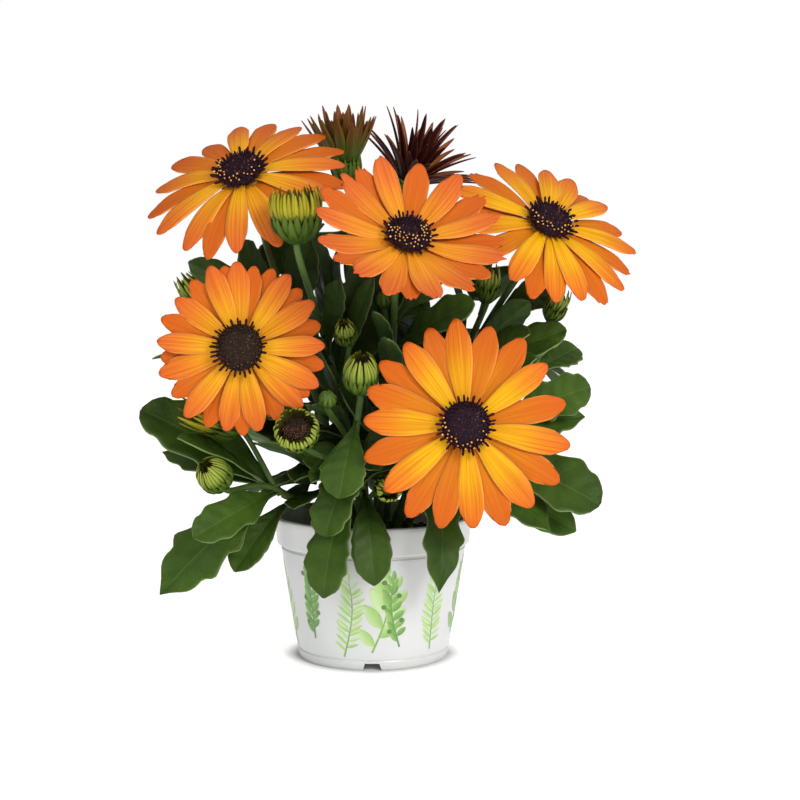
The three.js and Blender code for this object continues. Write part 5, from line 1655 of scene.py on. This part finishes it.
# %% Leaves' finishes
def leaf_finish(name, dark, light, vein, rough, vein_strength):
    """Green patches with paler veins and margin, darkened by painted shade near the pot's axis."""
    finish, tree, surface = new_finish(name, Roughness=rough, Specular_IOR_Level=0.16)
    across, along, tone, _ = blade_places(tree)
    colour = add_ramp(tree, speckle(tree, 14, 4), [(0.3, dark), (0.72, light)])
    colour = mixed(tree, maths(tree, "MULTIPLY", tone, 0.4), colour, light)
    veins = vein_pattern(tree, across, along)
    colour = mixed(tree, maths(tree, "MULTIPLY", veins, vein_strength), colour, vein)
    margin = maths(tree, "MULTIPLY", maths(tree, "POWER", across, 34), 0.6)
    colour = mixed(tree, margin, colour, (0.26, 0.34, 0.12))
    # Painted shade: leaves within 25 mm of the pot's axis are darkened to four tenths, those beyond 75 mm
    # not at all.
    shade = add_ramp(tree, decimetres_out(tree), [(0.25, (0.4, 0.4, 0.4)), (0.75, (1, 1, 1))])
    set_colour(tree, surface, mixed(tree, 1.0, colour, shade, "MULTIPLY"))
    height = maths(tree, "ADD", maths(tree, "MULTIPLY", veins, -0.6), speckle(tree, 0.9))
    set_bump(tree, surface, height, 0.14)
    return finish


leaf_face = leaf_finish("leaf_face", (0.022, 0.052, 0.005), (0.06, 0.118, 0.011), (0.14, 0.23, 0.04),
                        0.45, 0.3)
leaf_back = leaf_finish("leaf_back", (0.038, 0.08, 0.016), (0.08, 0.145, 0.03), (0.17, 0.25, 0.08),
                        0.6, 0.5)
bract_green = outside_finish("bract_green", (0.08, 0.15, 0.014), (0.035, 0.075, 0.008),
                             (0.035, 0.08, 0.008), (0.17, 0.22, 0.025))
print("finishes:", leaf_face.name, leaf_back.name, bract_green.name)

# %% Bracts under a head
BRACTS = 22


def bracts(head):
    """Pointed bracts in two rings that hug the cup and the lower half of a bud."""
    radius, top, depth = (head["cup"][key] for key in ("radius", "top", "depth"))
    if "fingers" in head:
        bow = (1.3 * radius, top - 0.45 * depth)
        wide, high = (1.16, 0.36) if head["open"] < 0.9 else (1.26, 0.38)
        tip = (wide * radius, high * head["height"])
    elif "layers" in head:
        opening = math.radians(head["layers"][0][1])
        reach = 5 if opening < 1 else 2.5
        bow = (1.2 * radius, top - 0.6 * depth)
        tip = (0.66 * radius + reach * math.sin(opening), top + 1 + reach * math.cos(opening))
    else:
        bow, tip = (1.3 * radius, top - 0.7 * depth), (1.05 * radius, top + 1.2)
    rings = []
    for i in range(BRACTS):
        short = 0.62 if i % 2 else 1
        end = (tip[0] + 0.35 * (1 - short), top + (tip[1] - top) * short * (0.9 + 0.2 * spread(i)))
        rings.append(head_blade(
            head, 360 * i / BRACTS + 5 * spread(i), (0.3 * radius, top - 0.96 * depth),
            (bow[0] + 0.3 * (i % 2), bow[1]), end, 0.27 * radius, "spike", 0.0, spread(i * 3)))
    return rings


def closed_bracts(bud):
    """A closed bud is wrapped in bracts that meet over its top."""
    radius = bud["radius"]
    return [head_blade(bud, 36 * i, (0.3 * radius, -1.25 * radius),
                       ((1.75 - 0.1 * (i % 2)) * radius, -0.2 * radius),
                       (0.25 * radius, (1.0 - 0.25 * (i % 2)) * radius), 0.36 * radius, "spike", 0.0,
                       spread(i * 3)) for i in range(10)]


print("bracts under each open head:", BRACTS)

# %% Leaves and bracts of each shoot
for i, (shoot, blades) in enumerate(zip(SHOOTS, leaf_blades), 1):
    sheets = new_sheets()
    for k, blade in enumerate(blades):
        blade["tone"] = spread(3 * k + i)
        add_sheet(sheets, blade, YOUNG_GRID if blade["outline"] == "young" else LEAF_GRID, leaf_surface)
    for head in heads_on(shoot):
        for blade in closed_bracts(head) if "closed" in head else bracts(head):
            add_sheet(sheets, blade, BRACT_GRID, bract_surface, finish=2)
    piece = finish_piece(sheets, f"leaves_{i}", [leaf_face, leaf_back, bract_green, bract_green],
                         [f"shoot_{i}"])
    thicken(piece, 1.5, 0.42)

# %% Measure the shoots against their plain solids
furthest = []
for i in range(1, len(SHOOTS) + 1):
    low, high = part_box(f"shoot_{i}")
    parts = [bpy.data.objects[f"{part}_{i}"].data.vertices for part in ("stems", "leaves")]
    places = np.array([vert.co for verts in parts for vert in verts])
    furthest.append(1000 * max(np.abs(places.min(axis=0) - low).max(),
                               np.abs(places.max(axis=0) - high).max()))
print("millimetres between the fine and plain shoots' boxes:", [round(gap, 1) for gap in furthest])

# %% [markdown]
# ## Floor
#
# The floor is only a stage, so it isn't part of the object. It is a wide pale plane that glows
# faintly, though it is no lamp, as painted light that keeps it white. It stops glowing close
# round the pot's foot, so the only shadow left, a painted one, is the one close round the foot.

# %% Lay the floor
floor_mesh = bpy.data.meshes.new("floor")
ground = bmesh.new()
bmesh.ops.create_grid(ground, x_segments=1, y_segments=1, size=6)
ground.to_mesh(floor_mesh)
ground.free()
floor = bpy.data.objects.new("floor", floor_mesh)
bpy.context.collection.objects.link(floor)
floor_white, tree, surface = new_finish("floor_white", Roughness=0.9, Specular_IOR_Level=0.1,
                                        Emission_Strength=0.68)
pale = add_ramp(tree, speckle(tree, 60, 2), [(0, (0.8, 0.8, 0.8)), (1, (0.84, 0.84, 0.84))])
set_colour(tree, surface, pale)
# Painted light and shade: the floor glows, though it is no lamp, except within about 42 mm of the pot's
# axis, and barely at all within 34 mm, which leaves a painted shadow round the foot.
painted_floor_glow = add_ramp(tree, decimetres_out(tree), [(0.345, (0.03, 0.03, 0.03)), (0.42, (1, 1, 1))])
tree.links.new(painted_floor_glow, surface.inputs["Emission Color"])
floor_mesh.materials.append(floor_white)
print("floor laid")
